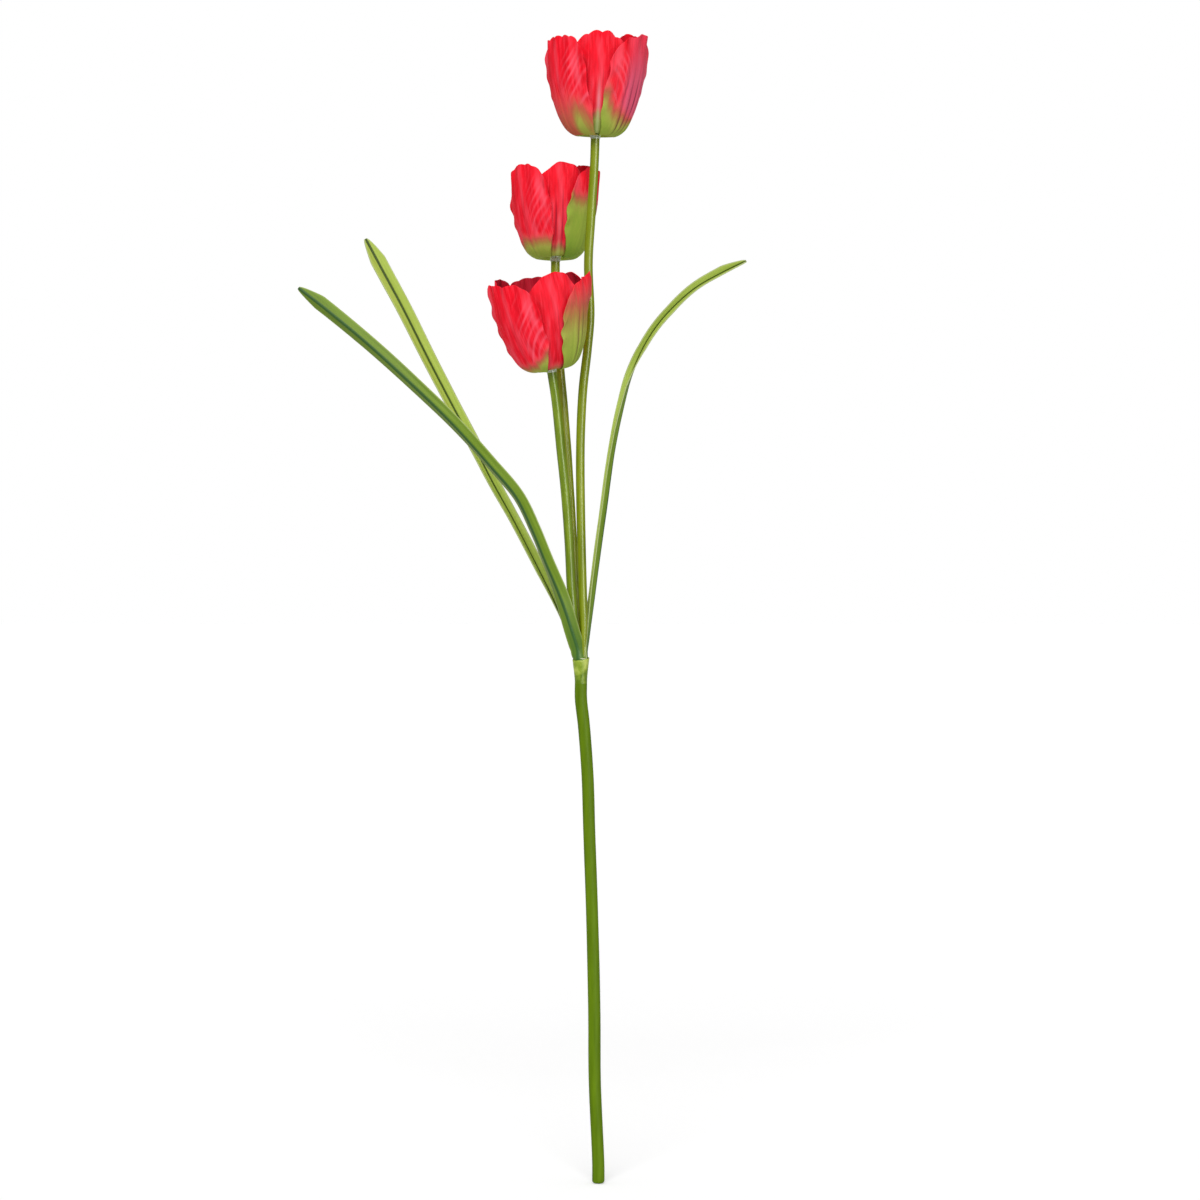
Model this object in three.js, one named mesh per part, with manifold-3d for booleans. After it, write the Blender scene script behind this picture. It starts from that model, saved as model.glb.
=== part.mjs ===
// Artificial tulip spray: three cloth tulip heads and three strap leaves on one wired plastic stem.
// Millimetres, +Z up. The origin is the centre of the stem's flat foot, and -Y faces the viewer.
// Every stem is a plastic coat on a steel wire, so it stays as it is bent by hand.
import * as THREE from "three";
import { mergeVertices } from "three/addons/utils/BufferGeometryUtils.js";
import Module from "manifold-3d";

const wasm = await Module();
wasm.setup();

// Clearances: between pieces that touch, and between branch feet side by side
const SEAT_GAP = 0.3;
const FOOT_SPACING = 0.4;

// Main stem
const STEM_LENGTH = 325;
const STEM_DIAMETER = 8;
const STEM_WIRE_DIAMETER = 3;
const STEM_WIRE_TENON = 6;
const FOOT_ROUNDING = 1.8;

// Branch socket: the flared cup on top of the main stem, filled with glue
const SOCKET_HEIGHT = 16.5;
const SOCKET_DEPTH = 8;
const SOCKET_MOUTH_DIAMETER = 11;
const SOCKET_WALL = 0.7;
const WIRE_TAIL_LENGTH = 6;

// Branches
const UPPER_BRANCH_LENGTH = 339;
const MIDDLE_BRANCH_LENGTH = 264;
const LOWER_BRANCH_LENGTH = 187;
const BRANCH_DIAMETER = 5.8;
const BRANCH_FOOT_DIAMETER = 3.2;
const BRANCH_TAPER_LENGTH = 30;
const BRANCH_WIRE_DIAMETER = 2;
const BRANCH_WIRE_SET_IN = 3;
const HEAD_PEG_LENGTH = 7;

// Flower heads
const COLLAR_DIAMETER = 8.4;
const COLLAR_FOOT_DIAMETER = 6.4;
const COLLAR_HEIGHT = 2;
const RECEPTACLE_DIAMETER = 11.2;
const RECEPTACLE_FOOT_DIAMETER = 7;
const RECEPTACLE_HEIGHT = 12;
const RECEPTACLE_CROWN = 3;
const CUP_DIAMETER = 64.4;
const OUTER_PETAL_HEIGHT = 61;
const INNER_PETAL_HEIGHT = 64;
const OUTER_PETAL_WIDTH = 48;
const INNER_PETAL_WIDTH = 44;
const OUTER_SEAT_HEIGHT = 3.4;
const INNER_SEAT_HEIGHT = 6.6;
const PETAL_THICKNESS = 0.5;
const PISTIL_DIAMETER = 3.6;
const PISTIL_HEIGHT = 22;
const PISTIL_NECK_DIAMETER = 2.7;
const STIGMA_DIAMETER = 5.4;
const STIGMA_TOP_DIAMETER = 4.4;
const STIGMA_HEIGHT = 3.6;
const STIGMA_DIMPLE = 0.7;
const STIGMA_LOBES = 3;
const STIGMA_SWELL_RATIO = 0.25;
const PISTIL_PEG_DIAMETER = 2;
const PISTIL_PEG_LENGTH = 2.6;
const STAMEN_HEIGHT = 20;
const STAMEN_DIAMETER = 1.2;
const STAMEN_LEAN = 12;
const STAMEN_COUNT = 6;
const ANTHER_DIAMETER = 2.4;
const ANTHER_LENGTH = 8;
const ANTHER_POINT = 2.2;
const STAMEN_RING_WIDTH = 2;
const STAMEN_RING_HEIGHT = 1.6;

// Leaves
const FRONT_LEAF_LENGTH = 308;
const BACK_LEAF_LENGTH = 310;
const RIGHT_LEAF_LENGTH = 297;
const LEAF_WIDTH = 12;
const RIGHT_LEAF_WIDTH = 10;
const LEAF_ROOT_WIDTH = 6.4;
const LEAF_TIP_WIDTH = 2;
const LEAF_TIP_LENGTH = 16;
const LEAF_THICKNESS = 0.8;

// Facets: sides of the turned pieces, and steps round or along a piece
const STEM_SIDES = 12;
const STEM_STEPS = 16;
const SOCKET_SIDES = 16;
const SOCKET_STEPS = 5;
const BRANCH_SIDES = 10;
const BRANCH_STEP_LENGTH = 22;
const BRANCH_TAPER_STEPS = 3;
const WIRE_SIDES = 8;
const ROUND_STEPS = 4;
const HUB_SIDES = 12;
const STAMEN_SIDES = 5;
const LINE_DIVISIONS = 800;
const WELD_DISTANCE = 1e-4;

const WORLD_X = new THREE.Vector3(1, 0, 0);
const WORLD_Z = new THREE.Vector3(0, 0, 1);

function finish(color, roughness, metalness = 0) {
  return new THREE.MeshStandardMaterial({ color, roughness, metalness });
}

function coatFinish() {
  return finish("#6f8a1e", 0.4);
}

function wireFinish() {
  return finish("#8d9095", 0.35, 0.9);
}

function place(group, name, geometry, material) {
  const mesh = new THREE.Mesh(geometry, material);
  mesh.name = name;
  group.add(mesh);
  return mesh;
}

function radians(degrees) {
  return THREE.MathUtils.degToRad(degrees);
}

// A profile of [radius, height] pairs turned about Z, listed upward along its outside.
function turned(profile, sides) {
  const points = profile.map(([radius, height]) => new THREE.Vector2(radius, height));
  return new THREE.LatheGeometry(points, sides).rotateX(Math.PI / 2);
}

function toSolid(geometry) {
  const bare = geometry.clone();
  bare.deleteAttribute("normal");
  bare.deleteAttribute("uv");
  const merged = mergeVertices(bare, WELD_DISTANCE);
  return new wasm.Manifold(new wasm.Mesh({
    numProp: 3,
    vertProperties: Float32Array.from(merged.attributes.position.array),
    triVerts: Uint32Array.from(merged.index.array),
  }));
}

function fromSolid(solid) {
  const mesh = solid.getMesh();
  const geometry = new THREE.BufferGeometry();
  geometry.setAttribute("position", new THREE.BufferAttribute(mesh.vertProperties, 3));
  geometry.setIndex(new THREE.BufferAttribute(mesh.triVerts, 1));
  return geometry;
}

// A hand-bent line: the points give its shape from its start, and the length sets its size.
function bentLine(start, points, length) {
  const drawn = [[0, 0, 0], ...points].map((point) => new THREE.Vector3(...point));
  const share = length / new THREE.CatmullRomCurve3(drawn).getLength();
  const curve = new THREE.CatmullRomCurve3(drawn.map((point) => point.multiplyScalar(share).add(start)));
  curve.arcLengthDivisions = LINE_DIVISIONS;
  return curve;
}

function frameAt(curve, length, distance) {
  const share = THREE.MathUtils.clamp(distance / length, 0, 1);
  const along = curve.getTangentAt(share).normalize();
  const across = WORLD_X.clone().addScaledVector(along, -along.x).normalize();
  const back = along.clone().cross(across);
  const overrun = distance - share * length;
  const point = curve.getPointAt(share).addScaledVector(along, overrun);
  return { point, across, back, along };
}

// Bends a straight piece, turned about Z from height 0, along a line.
function bentAlong(geometry, curve, length) {
  const position = geometry.attributes.position;
  for (let i = 0; i < position.count; i += 1) {
    const frame = frameAt(curve, length, position.getZ(i));
    frame.point.addScaledVector(frame.across, position.getX(i));
    frame.point.addScaledVector(frame.back, position.getY(i));
    position.setXYZ(i, frame.point.x, frame.point.y, frame.point.z);
  }
  return geometry;
}

function steps(from, to, count) {
  return Array.from({ length: count + 1 }, (unused, i) => from + ((to - from) * i) / count);
}

// The lower rounded corner of a turned piece as [radius, height] pairs, up to where its side begins
function roundedFoot(centreRadius, centreHeight, radius) {
  return steps(-90, 0, ROUND_STEPS).slice(0, -1).map((angle) => [
    centreRadius + radius * Math.cos(radians(angle)),
    centreHeight + radius * Math.sin(radians(angle)),
  ]);
}

// A sheet with thickness: point(across, along, side) with across from -1 to 1, along from 0 to 1,
// and side 1 on the outside face and -1 on the inside face.
function sheetSolid(point, columns, rows) {
  const vertices = [];
  for (const side of [1, -1]) {
    for (const along of rows) {
      for (const across of columns) {
        vertices.push(...point(across, along, side).toArray());
      }
    }
  }
  const wide = columns.length;
  const tall = rows.length;
  const at = (column, row, side) => column + wide * (row + (side > 0 ? 0 : tall));
  const faces = [];
  for (let row = 0; row + 1 < tall; row += 1) {
    for (let column = 0; column + 1 < wide; column += 1) {
      const outer = [[column, row], [column + 1, row], [column + 1, row + 1], [column, row + 1]];
      const [a, b, c, d] = outer.map(([i, j]) => at(i, j, 1));
      const [e, f, g, h] = outer.map(([i, j]) => at(i, j, -1));
      faces.push(a, b, c, a, c, d, e, g, f, e, h, g);
    }
  }
  const across = [...columns.keys()];
  const upward = [...rows.keys()];
  const rim = [
    ...across.slice(0, -1).map((column) => [column, 0]),
    ...upward.slice(0, -1).map((row) => [wide - 1, row]),
    ...across.slice(1).reverse().map((column) => [column, tall - 1]),
    ...upward.slice(1).reverse().map((row) => [0, row]),
  ];
  rim.forEach((from, i) => {
    const to = rim[(i + 1) % rim.length];
    const [a, b] = [at(...from, 1), at(...to, 1)];
    const [c, d] = [at(...from, -1), at(...to, -1)];
    faces.push(b, a, c, b, c, d);
  });
  const geometry = new THREE.BufferGeometry();
  geometry.setAttribute("position", new THREE.Float32BufferAttribute(vertices, 3));
  geometry.setIndex(faces);
  return geometry;
}

// Main stem: a straight start gives the flat foot, and a straight end seats the socket upright.
const stemBend = [
  [0, 0, 12], [-2.3, 0, 67], [-2.6, 0, 112], [-4.1, 0, 177], [-5.9, 0, 229],
  [-7, 0, 265], [-9.4, 0, 298], [-11.3, 0, 315], [-11.3, 0, 325],
];

const stemLine = bentLine(new THREE.Vector3(), stemBend, STEM_LENGTH);
const stemRadius = STEM_DIAMETER / 2;
const stemBore = STEM_WIRE_DIAMETER / 2 + SEAT_GAP;
const stemWireEnd = STEM_LENGTH + SEAT_GAP + STEM_WIRE_TENON;

function mainStem() {
  const heights = steps(FOOT_ROUNDING, STEM_LENGTH, STEM_STEPS);
  const boreFloor = FOOT_ROUNDING + SEAT_GAP;
  const profile = [
    [0, 0],
    ...roundedFoot(stemRadius - FOOT_ROUNDING, FOOT_ROUNDING, FOOT_ROUNDING),
    ...heights.map((height) => [stemRadius, height]),
    ...heights.slice(1).reverse().map((height) => [stemBore, height]),
    [stemBore, boreFloor],
    [0, boreFloor],
  ];
  return bentAlong(turned(profile, STEM_SIDES), stemLine, STEM_LENGTH);
}

function mainWire() {
  const heights = steps(FOOT_ROUNDING + 2 * SEAT_GAP, STEM_LENGTH, STEM_STEPS);
  const radius = STEM_WIRE_DIAMETER / 2;
  const profile = [
    [0, heights[0]],
    ...heights.map((height) => [radius, height]),
    [radius, stemWireEnd],
    [0, stemWireEnd],
  ];
  return bentAlong(turned(profile, WIRE_SIDES), stemLine, STEM_LENGTH);
}

const spray = new THREE.Group();
place(spray, "main_stem", mainStem(), finish("#5f7d0f", 0.45));
place(spray, "main_wire", mainWire(), wireFinish());

// Branch socket, glue plug and the ends of the branch wires set in the glue
const stemTop = stemLine.getPointAt(1);
const socketFoot = stemTop.z + SEAT_GAP;
const mouth = stemTop.clone().setZ(socketFoot + SOCKET_HEIGHT);
const mouthRadius = SOCKET_MOUTH_DIAMETER / 2;
const cupRadius = mouthRadius - SOCKET_WALL;
const cupFloor = SOCKET_HEIGHT - SOCKET_DEPTH;

function socketOutside(height) {
  return stemRadius + (mouthRadius - stemRadius) * Math.sin((Math.PI / 2) * (height / SOCKET_HEIGHT));
}

const cupFloorRadius = Math.min(cupRadius, socketOutside(cupFloor) - SOCKET_WALL);
const footRadius = BRANCH_FOOT_DIAMETER / 2;
const footCircle = (BRANCH_FOOT_DIAMETER + FOOT_SPACING) / Math.sqrt(3);
const branchWireRadius = BRANCH_WIRE_DIAMETER / 2;
const FOOT_DIRECTIONS = { upper: -30, middle: 90, lower: 210 };

function branchFoot(name) {
  const direction = radians(FOOT_DIRECTIONS[name]);
  const offset = new THREE.Vector3(Math.cos(direction), Math.sin(direction), 0).multiplyScalar(footCircle);
  return mouth.clone().add(offset).add(new THREE.Vector3(0, 0, footRadius));
}

function branchSocket() {
  const tenonHole = STEM_WIRE_TENON + SEAT_GAP;
  const profile = [
    [stemBore, 0],
    ...steps(0, SOCKET_HEIGHT, SOCKET_STEPS).map((height) => [socketOutside(height), height]),
    [cupRadius, SOCKET_HEIGHT],
    [cupFloorRadius, cupFloor],
    [0, cupFloor],
    [0, tenonHole],
    [stemBore, tenonHole],
    [stemBore, 0],
  ];
  return turned(profile, SOCKET_SIDES);
}

function wireTail(radius, length) {
  return turned([[0, -length], [radius, -length], [radius, 0], [0, 0]], WIRE_SIDES);
}

function gluePlug() {
  const profile = [
    [0, cupFloor + SEAT_GAP],
    [cupFloorRadius - SEAT_GAP, cupFloor + SEAT_GAP],
    [cupRadius - SEAT_GAP, SOCKET_HEIGHT - SEAT_GAP],
    [0, SOCKET_HEIGHT - SEAT_GAP],
  ];
  let plug = toSolid(turned(profile, SOCKET_SIDES));
  for (const name of Object.keys(FOOT_DIRECTIONS)) {
    const hole = wireTail(branchWireRadius + SEAT_GAP, WIRE_TAIL_LENGTH + SEAT_GAP);
    const foot = branchFoot(name).sub(mouth);
    plug = plug.subtract(toSolid(hole.translate(foot.x, foot.y, SOCKET_HEIGHT)));
  }
  return fromSolid(plug);
}

const socketGroup = new THREE.Group();
socketGroup.position.set(mouth.x, mouth.y, socketFoot);
spray.add(socketGroup);
place(socketGroup, "branch_socket", branchSocket(), finish("#93a83c", 0.5));
place(socketGroup, "glue_plug", gluePlug(), finish("#c9cfae", 0.35));
for (const name of Object.keys(FOOT_DIRECTIONS)) {
  const foot = branchFoot(name).sub(mouth);
  const tail = wireTail(branchWireRadius, WIRE_TAIL_LENGTH - SEAT_GAP);
  tail.translate(foot.x, foot.y, SOCKET_HEIGHT - SEAT_GAP);
  place(socketGroup, `${name}_wire_tail`, tail, wireFinish());
}

// Branches: each is bent from its round foot at the socket mouth up to the neck of its flower
const BRANCHES = {
  upper: {
    length: UPPER_BRANCH_LENGTH,
    bend: [
      [0.1, -0.8, 20], [-0.7, -1.2, 42], [-1.5, 0.2, 72], [-2.2, 4, 133], [-0.6, 6, 172], [2.3, 7, 198],
      [4.2, 7.5, 221], [3, 6.5, 254], [4.6, 5, 283], [6.9, 3.2, 319], [7.5, 2.2, 338],
    ],
  },
  middle: {
    length: MIDDLE_BRANCH_LENGTH,
    bend: [
      [-1.6, 2.6, 20], [-3.6, 6, 42], [-7, 13, 101], [-9.2, 17, 134], [-11.9, 22, 167], [-13.6, 25, 185],
      [-16.2, 30, 220], [-17, 32.6, 250], [-17, 32.9, 261],
    ],
  },
  lower: {
    length: LOWER_BRANCH_LENGTH,
    bend: [
      [-2.5, -1.2, 20], [-4.4, -3, 42], [-6, -6, 74], [-7.8, -9, 100], [-11, -12.8, 132],
      [-14.3, -16.6, 164], [-17.4, -19.6, 185],
    ],
  },
};

const coatRadius = BRANCH_DIAMETER / 2;
const coatBore = branchWireRadius + SEAT_GAP;

function coatOutside(height) {
  const rise = THREE.MathUtils.smoothstep(height, 0, BRANCH_TAPER_LENGTH);
  return footRadius + (coatRadius - footRadius) * rise;
}

function branchCoat(line, length) {
  const taper = steps(0, BRANCH_TAPER_LENGTH, BRANCH_TAPER_STEPS);
  const shaft = steps(BRANCH_TAPER_LENGTH, length, Math.ceil(length / BRANCH_STEP_LENGTH));
  const heights = [...taper.slice(0, -1), ...shaft];
  const bored = shaft.slice().reverse();
  const profile = [
    [0, -footRadius],
    ...roundedFoot(0, 0, footRadius).slice(1),
    ...heights.map((height) => [coatOutside(height), height]),
    ...bored.map((height) => [coatBore, height]),
    [coatBore, BRANCH_WIRE_SET_IN],
    [0, BRANCH_WIRE_SET_IN],
  ];
  return bentAlong(turned(profile, BRANCH_SIDES), line, length);
}

function branchWire(line, length) {
  const start = BRANCH_WIRE_SET_IN + SEAT_GAP;
  const heights = [start, ...steps(BRANCH_TAPER_LENGTH, length, Math.ceil(length / BRANCH_STEP_LENGTH))];
  const top = length + COLLAR_HEIGHT + 2 * SEAT_GAP + HEAD_PEG_LENGTH;
  const profile = [
    [0, start],
    ...heights.map((height) => [branchWireRadius, height]),
    [branchWireRadius, top],
    [0, top],
  ];
  return bentAlong(turned(profile, WIRE_SIDES), line, length);
}

function clearCollar() {
  const foot = SEAT_GAP;
  const top = SEAT_GAP + COLLAR_HEIGHT;
  const profile = [
    [coatBore, foot],
    [COLLAR_FOOT_DIAMETER / 2, foot],
    [COLLAR_DIAMETER / 2, top],
    [coatBore, top],
    [coatBore, foot],
  ];
  return turned(profile, HUB_SIDES);
}

function standOn(group, line) {
  group.position.copy(line.getPointAt(1));
  group.quaternion.setFromUnitVectors(WORLD_Z, line.getTangentAt(1).normalize());
}

// Flower heads: a green plastic receptacle on the wire peg carries six moulded cloth petals in two
// rings of three, with a plastic pistil and a ring of stamens inside
const receptacleFoot = COLLAR_HEIGHT + 2 * SEAT_GAP;
const receptacleTop = receptacleFoot + RECEPTACLE_HEIGHT;
const receptacleRadius = RECEPTACLE_DIAMETER / 2;
const pistilBore = PISTIL_PEG_DIAMETER / 2 + SEAT_GAP;
const pistilFoot = receptacleTop + SEAT_GAP;
const pistilRadius = PISTIL_DIAMETER / 2;
const stamenRingInside = pistilRadius + SEAT_GAP;
const stamenCircle = stamenRingInside + STAMEN_RING_WIDTH / 2;
const cupMouthRadius = CUP_DIAMETER / 2;
const petalSeat = receptacleRadius + SEAT_GAP + PETAL_THICKNESS / 2;

function receptacle() {
  const pegTop = receptacleFoot + HEAD_PEG_LENGTH + SEAT_GAP;
  const shoulder = receptacleTop - RECEPTACLE_CROWN;
  const pistilHoleFloor = receptacleTop - PISTIL_PEG_LENGTH - SEAT_GAP;
  const profile = [
    [0, pegTop],
    [coatBore, pegTop],
    [coatBore, receptacleFoot],
    [RECEPTACLE_FOOT_DIAMETER / 2, receptacleFoot],
    [receptacleRadius, OUTER_SEAT_HEIGHT],
    [receptacleRadius, shoulder],
    [stamenCircle + STAMEN_RING_WIDTH / 2, receptacleTop],
    [pistilBore, receptacleTop],
    [pistilBore, pistilHoleFloor],
    [0, pistilHoleFloor],
  ];
  return turned(profile, HUB_SIDES);
}

// The stigma at the top of the pistil swells into three lobes.
function pistil() {
  const top = pistilFoot + PISTIL_HEIGHT;
  const neck = top - STIGMA_HEIGHT;
  const geometry = turned([
    [0, pistilFoot - PISTIL_PEG_LENGTH],
    [PISTIL_PEG_DIAMETER / 2, pistilFoot - PISTIL_PEG_LENGTH],
    [PISTIL_PEG_DIAMETER / 2, pistilFoot],
    [pistilRadius, pistilFoot],
    [pistilRadius, (pistilFoot + neck) / 2],
    [PISTIL_NECK_DIAMETER / 2, neck],
    [STIGMA_DIAMETER / 2, neck + STIGMA_HEIGHT / 2],
    [STIGMA_TOP_DIAMETER / 2, top],
    [0, top - STIGMA_DIMPLE],
  ], HUB_SIDES);
  const position = geometry.attributes.position;
  for (let i = 0; i < position.count; i += 1) {
    const lobed = position.getZ(i) > neck;
    const angle = Math.atan2(position.getY(i), position.getX(i));
    const swell = lobed ? 1 + STIGMA_SWELL_RATIO * Math.cos(STIGMA_LOBES * angle) : 1;
    position.setXYZ(i, position.getX(i) * swell, position.getY(i) * swell, position.getZ(i));
  }
  return geometry;
}

// A moulded ring threaded over the pistil, with the stamens standing on it
function stamens() {
  const foot = pistilFoot;
  const ringTop = foot + STAMEN_RING_HEIGHT;
  const ringOutside = stamenRingInside + STAMEN_RING_WIDTH;
  let cluster = toSolid(turned([
    [stamenRingInside, foot], [ringOutside, foot], [ringOutside, ringTop], [stamenRingInside, ringTop],
    [stamenRingInside, foot],
  ], HUB_SIDES));
  const stalkTop = STAMEN_HEIGHT - ANTHER_LENGTH;
  for (let i = 0; i < STAMEN_COUNT; i += 1) {
    const stamen = turned([
      [0, STAMEN_RING_HEIGHT / 2],
      [STAMEN_DIAMETER / 2, STAMEN_RING_HEIGHT / 2],
      [STAMEN_DIAMETER / 2, stalkTop],
      [ANTHER_DIAMETER / 2, stalkTop + ANTHER_POINT],
      [ANTHER_DIAMETER / 2, STAMEN_HEIGHT - ANTHER_POINT],
      [0, STAMEN_HEIGHT],
    ], STAMEN_SIDES);
    stamen.rotateY(radians(STAMEN_LEAN));
    stamen.translate(stamenCircle, 0, foot);
    stamen.rotateZ((2 * Math.PI * i) / STAMEN_COUNT);
    cluster = cluster.add(toSolid(stamen));
  }
  return fromSolid(cluster);
}

// A petal's middle line as [radius, height] shares of the cup's mouth radius and the petal's height;
// it leaves its seat on the receptacle outward, sags a little and then stands up.
const OUTER_MIDDLE = [[0.37, -0.006], [0.575, 0.052], [0.76, 0.24], [0.885, 0.484], [0.957, 0.71], [1, 1]];
const INNER_MIDDLE = [
  [0.35, 0.038], [0.53, 0.082], [0.705, 0.24], [0.82, 0.45], [0.88, 0.65], [0.895, 0.87], [0.855, 1],
];
const PETAL_RINGS = {
  outer: {
    middle: OUTER_MIDDLE, seatHeight: OUTER_SEAT_HEIGHT, height: OUTER_PETAL_HEIGHT,
    width: OUTER_PETAL_WIDTH, tipShare: 0.27, tipRatio: 3.2,
  },
  inner: {
    middle: INNER_MIDDLE, seatHeight: INNER_SEAT_HEIGHT, height: INNER_PETAL_HEIGHT,
    width: INNER_PETAL_WIDTH, tipShare: 0.22, tipRatio: 2.6,
  },
};
const PETAL_COLUMNS = steps(-1, 1, 8);
const PETAL_ROWS = steps(0, 1, 7);
const PETAL_SIDE = { footShare: 0.06, fullShare: 0.6, powerRatio: 0.9 };

// The petal's half width grows from its narrow foot to full width a little past half of its length.
function petalHalfWidth(ring, along) {
  const growth = Math.min(1, (along + PETAL_SIDE.footShare) / PETAL_SIDE.fullShare);
  return (ring.width / 2) * Math.sin((Math.PI / 2) * growth) ** PETAL_SIDE.powerRatio;
}

function petal(ring, size, lean, belly) {
  const seat = new THREE.Vector2(petalSeat, ring.seatHeight);
  const shares = ring.middle.map(([r, z]) => new THREE.Vector2(
    (r + belly * Math.sin(Math.PI * Math.max(z, 0))) * cupMouthRadius * size,
    z * ring.height * size,
  ));
  const points = [seat, ...shares].map((point) => point.clone().rotateAround(seat, -radians(lean)));
  const line = new THREE.SplineCurve(points);
  const point = (across, along, side) => {
    const reach = along * (1 - ring.tipShare * Math.abs(across) ** ring.tipRatio);
    const middle = line.getPointAt(reach);
    const rise = line.getTangentAt(reach);
    const turn = (across * size * petalHalfWidth(ring, reach)) / middle.x;
    const radius = middle.x + (side * rise.y * PETAL_THICKNESS) / 2;
    const height = middle.y - (side * rise.x * PETAL_THICKNESS) / 2;
    return new THREE.Vector3(radius * Math.sin(turn), -radius * Math.cos(turn), height);
  };
  return sheetSolid(point, PETAL_COLUMNS, PETAL_ROWS);
}

// Each head's size, and each petal's direction in degrees from the front towards the right, its lean
// outward in degrees and how far its belly is pressed out as a share of the cup's mouth radius
const HEADS = {
  upper: {
    size: 1,
    outer: { left: [-56, 0.5, 0.037], right: [59, 0.5, 0], back: [181, 0, 0.016] },
    inner: { front: [4, -0.5, 0], right: [122, -0.5, 0], left: [-118, -0.5, 0] },
  },
  middle: {
    size: 0.94,
    outer: { left: [-52, -1, 0.025], right: [66, -2, 0.012], back: [184, -1.5, 0.016] },
    inner: { front: [7, -2, 0], right: [122, -1.5, 0], left: [-116, -2, 0] },
  },
  lower: {
    size: 0.96,
    outer: { left: [-44, 2.5, 0.05], right: [74, 0.5, 0.019], back: [192, 1, 0.016] },
    inner: { front: [12, 0, 0], right: [130, 0, 0], left: [-108, 0.5, 0] },
  },
};

for (const [name, branch] of Object.entries(BRANCHES)) {
  const line = bentLine(branchFoot(name), branch.bend, branch.length);
  place(spray, `${name}_branch_stem`, branchCoat(line, branch.length), coatFinish());
  place(spray, `${name}_branch_wire`, branchWire(line, branch.length), wireFinish());
  const head = new THREE.Group();
  standOn(head, line);
  spray.add(head);
  place(head, `${name}_clear_collar`, clearCollar(), finish("#dfe6da", 0.15));
  place(head, `${name}_receptacle`, receptacle(), finish("#8aa53a", 0.5));
  place(head, `${name}_pistil`, pistil(), finish("#b9bd55", 0.5));
  place(head, `${name}_stamens`, stamens(), finish("#3a2a22", 0.6));
  for (const [ringName, ring] of Object.entries(PETAL_RINGS)) {
    for (const [side, [direction, lean, belly]] of Object.entries(HEADS[name][ringName])) {
      const sheet = petal(ring, HEADS[name].size, lean, belly);
      const mesh = place(head, `${name}_${ringName}_petal_${side}`, sheet, finish("#d8182f", 0.6));
      mesh.rotation.z = radians(direction);
    }
  }
}

// Leaves: straps that leave the socket mouth flat and soon fold to a V along the middle. root is the
// direction of the leaf's foot round the mouth; facing is how its keel side turns from foot to tip, both
// in degrees from +X towards +Y; fold is how far each half is folded back, from foot to tip.
const LEAVES = {
  front: {
    length: FRONT_LEAF_LENGTH, width: LEAF_WIDTH, root: 245, facing: [245, 229, 224, 234, 242],
    fold: [36, 36],
    bend: [
      [0, 0, 4], [-3.9, -3.3, 17.2], [-10.5, -7.9, 36.7], [-21.3, -15.1, 62.5], [-29.4, -19.1, 82.3],
      [-39.7, -23.1, 103.3], [-57.4, -26.1, 124.4], [-77.6, -29.1, 147.2], [-102.8, -31.1, 172],
      [-133.1, -31.1, 199.9], [-160, -30.1, 222.4], [-178.9, -29.1, 237.2],
    ],
  },
  back: {
    length: BACK_LEAF_LENGTH, width: LEAF_WIDTH, root: 136, facing: [140, 110, 106, 106, 108, 114],
    fold: [56, 54, 38, 24],
    bend: [
      [0, 0, 4], [-5.6, 4, 15.8], [-16.2, 10, 40.2], [-28.2, 15, 64.6], [-41.7, 19, 90.6], [-55.2, 22, 115.1],
      [-67.2, 24, 138.6], [-81.9, 25, 166.1], [-97.2, 25, 195.6], [-112.9, 24, 227.1], [-127.7, 22, 254.6],
      [-138, 20, 274],
    ],
  },
  right: {
    length: RIGHT_LEAF_LENGTH, width: RIGHT_LEAF_WIDTH, root: 24,
    facing: [24, 10, 4, 0, 0, 5, 20, 75, 85, 50, 39], fold: [40, 58, 58, 52],
    bend: [
      [0, 0, 4], [3.3, 3, 30.5], [7.6, 7, 63], [12.2, 10, 96], [17.7, 13, 135], [24, 15, 166],
      [29.5, 16, 186], [37.3, 16, 204.1], [49.5, 16, 221.9], [68.7, 15, 240], [88.5, 13, 251.5],
      [103.7, 11, 258.7],
    ],
  },
};
const LEAF_COLUMNS = steps(-1, 1, 4);
const LEAF_ROWS = steps(0, 1, 24);
const LEAF_SIDE = { fullShare: 0.2, foldedShare: 0.12, tipRatio: 0.7 };

function leafHalfWidth(along, length, width) {
  const widened = THREE.MathUtils.smoothstep(along, 0, LEAF_SIDE.fullShare);
  const full = LEAF_ROOT_WIDTH + (width - LEAF_ROOT_WIDTH) * widened;
  const tipShare = THREE.MathUtils.clamp(((1 - along) * length) / LEAF_TIP_LENGTH, 0, 1);
  return (LEAF_TIP_WIDTH + (full - LEAF_TIP_WIDTH) * tipShare ** LEAF_SIDE.tipRatio) / 2;
}

function angleAt(angles, along) {
  const station = along * (angles.length - 1);
  const from = Math.min(Math.floor(station), angles.length - 2);
  return radians(THREE.MathUtils.lerp(angles[from], angles[from + 1], station - from));
}

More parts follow.
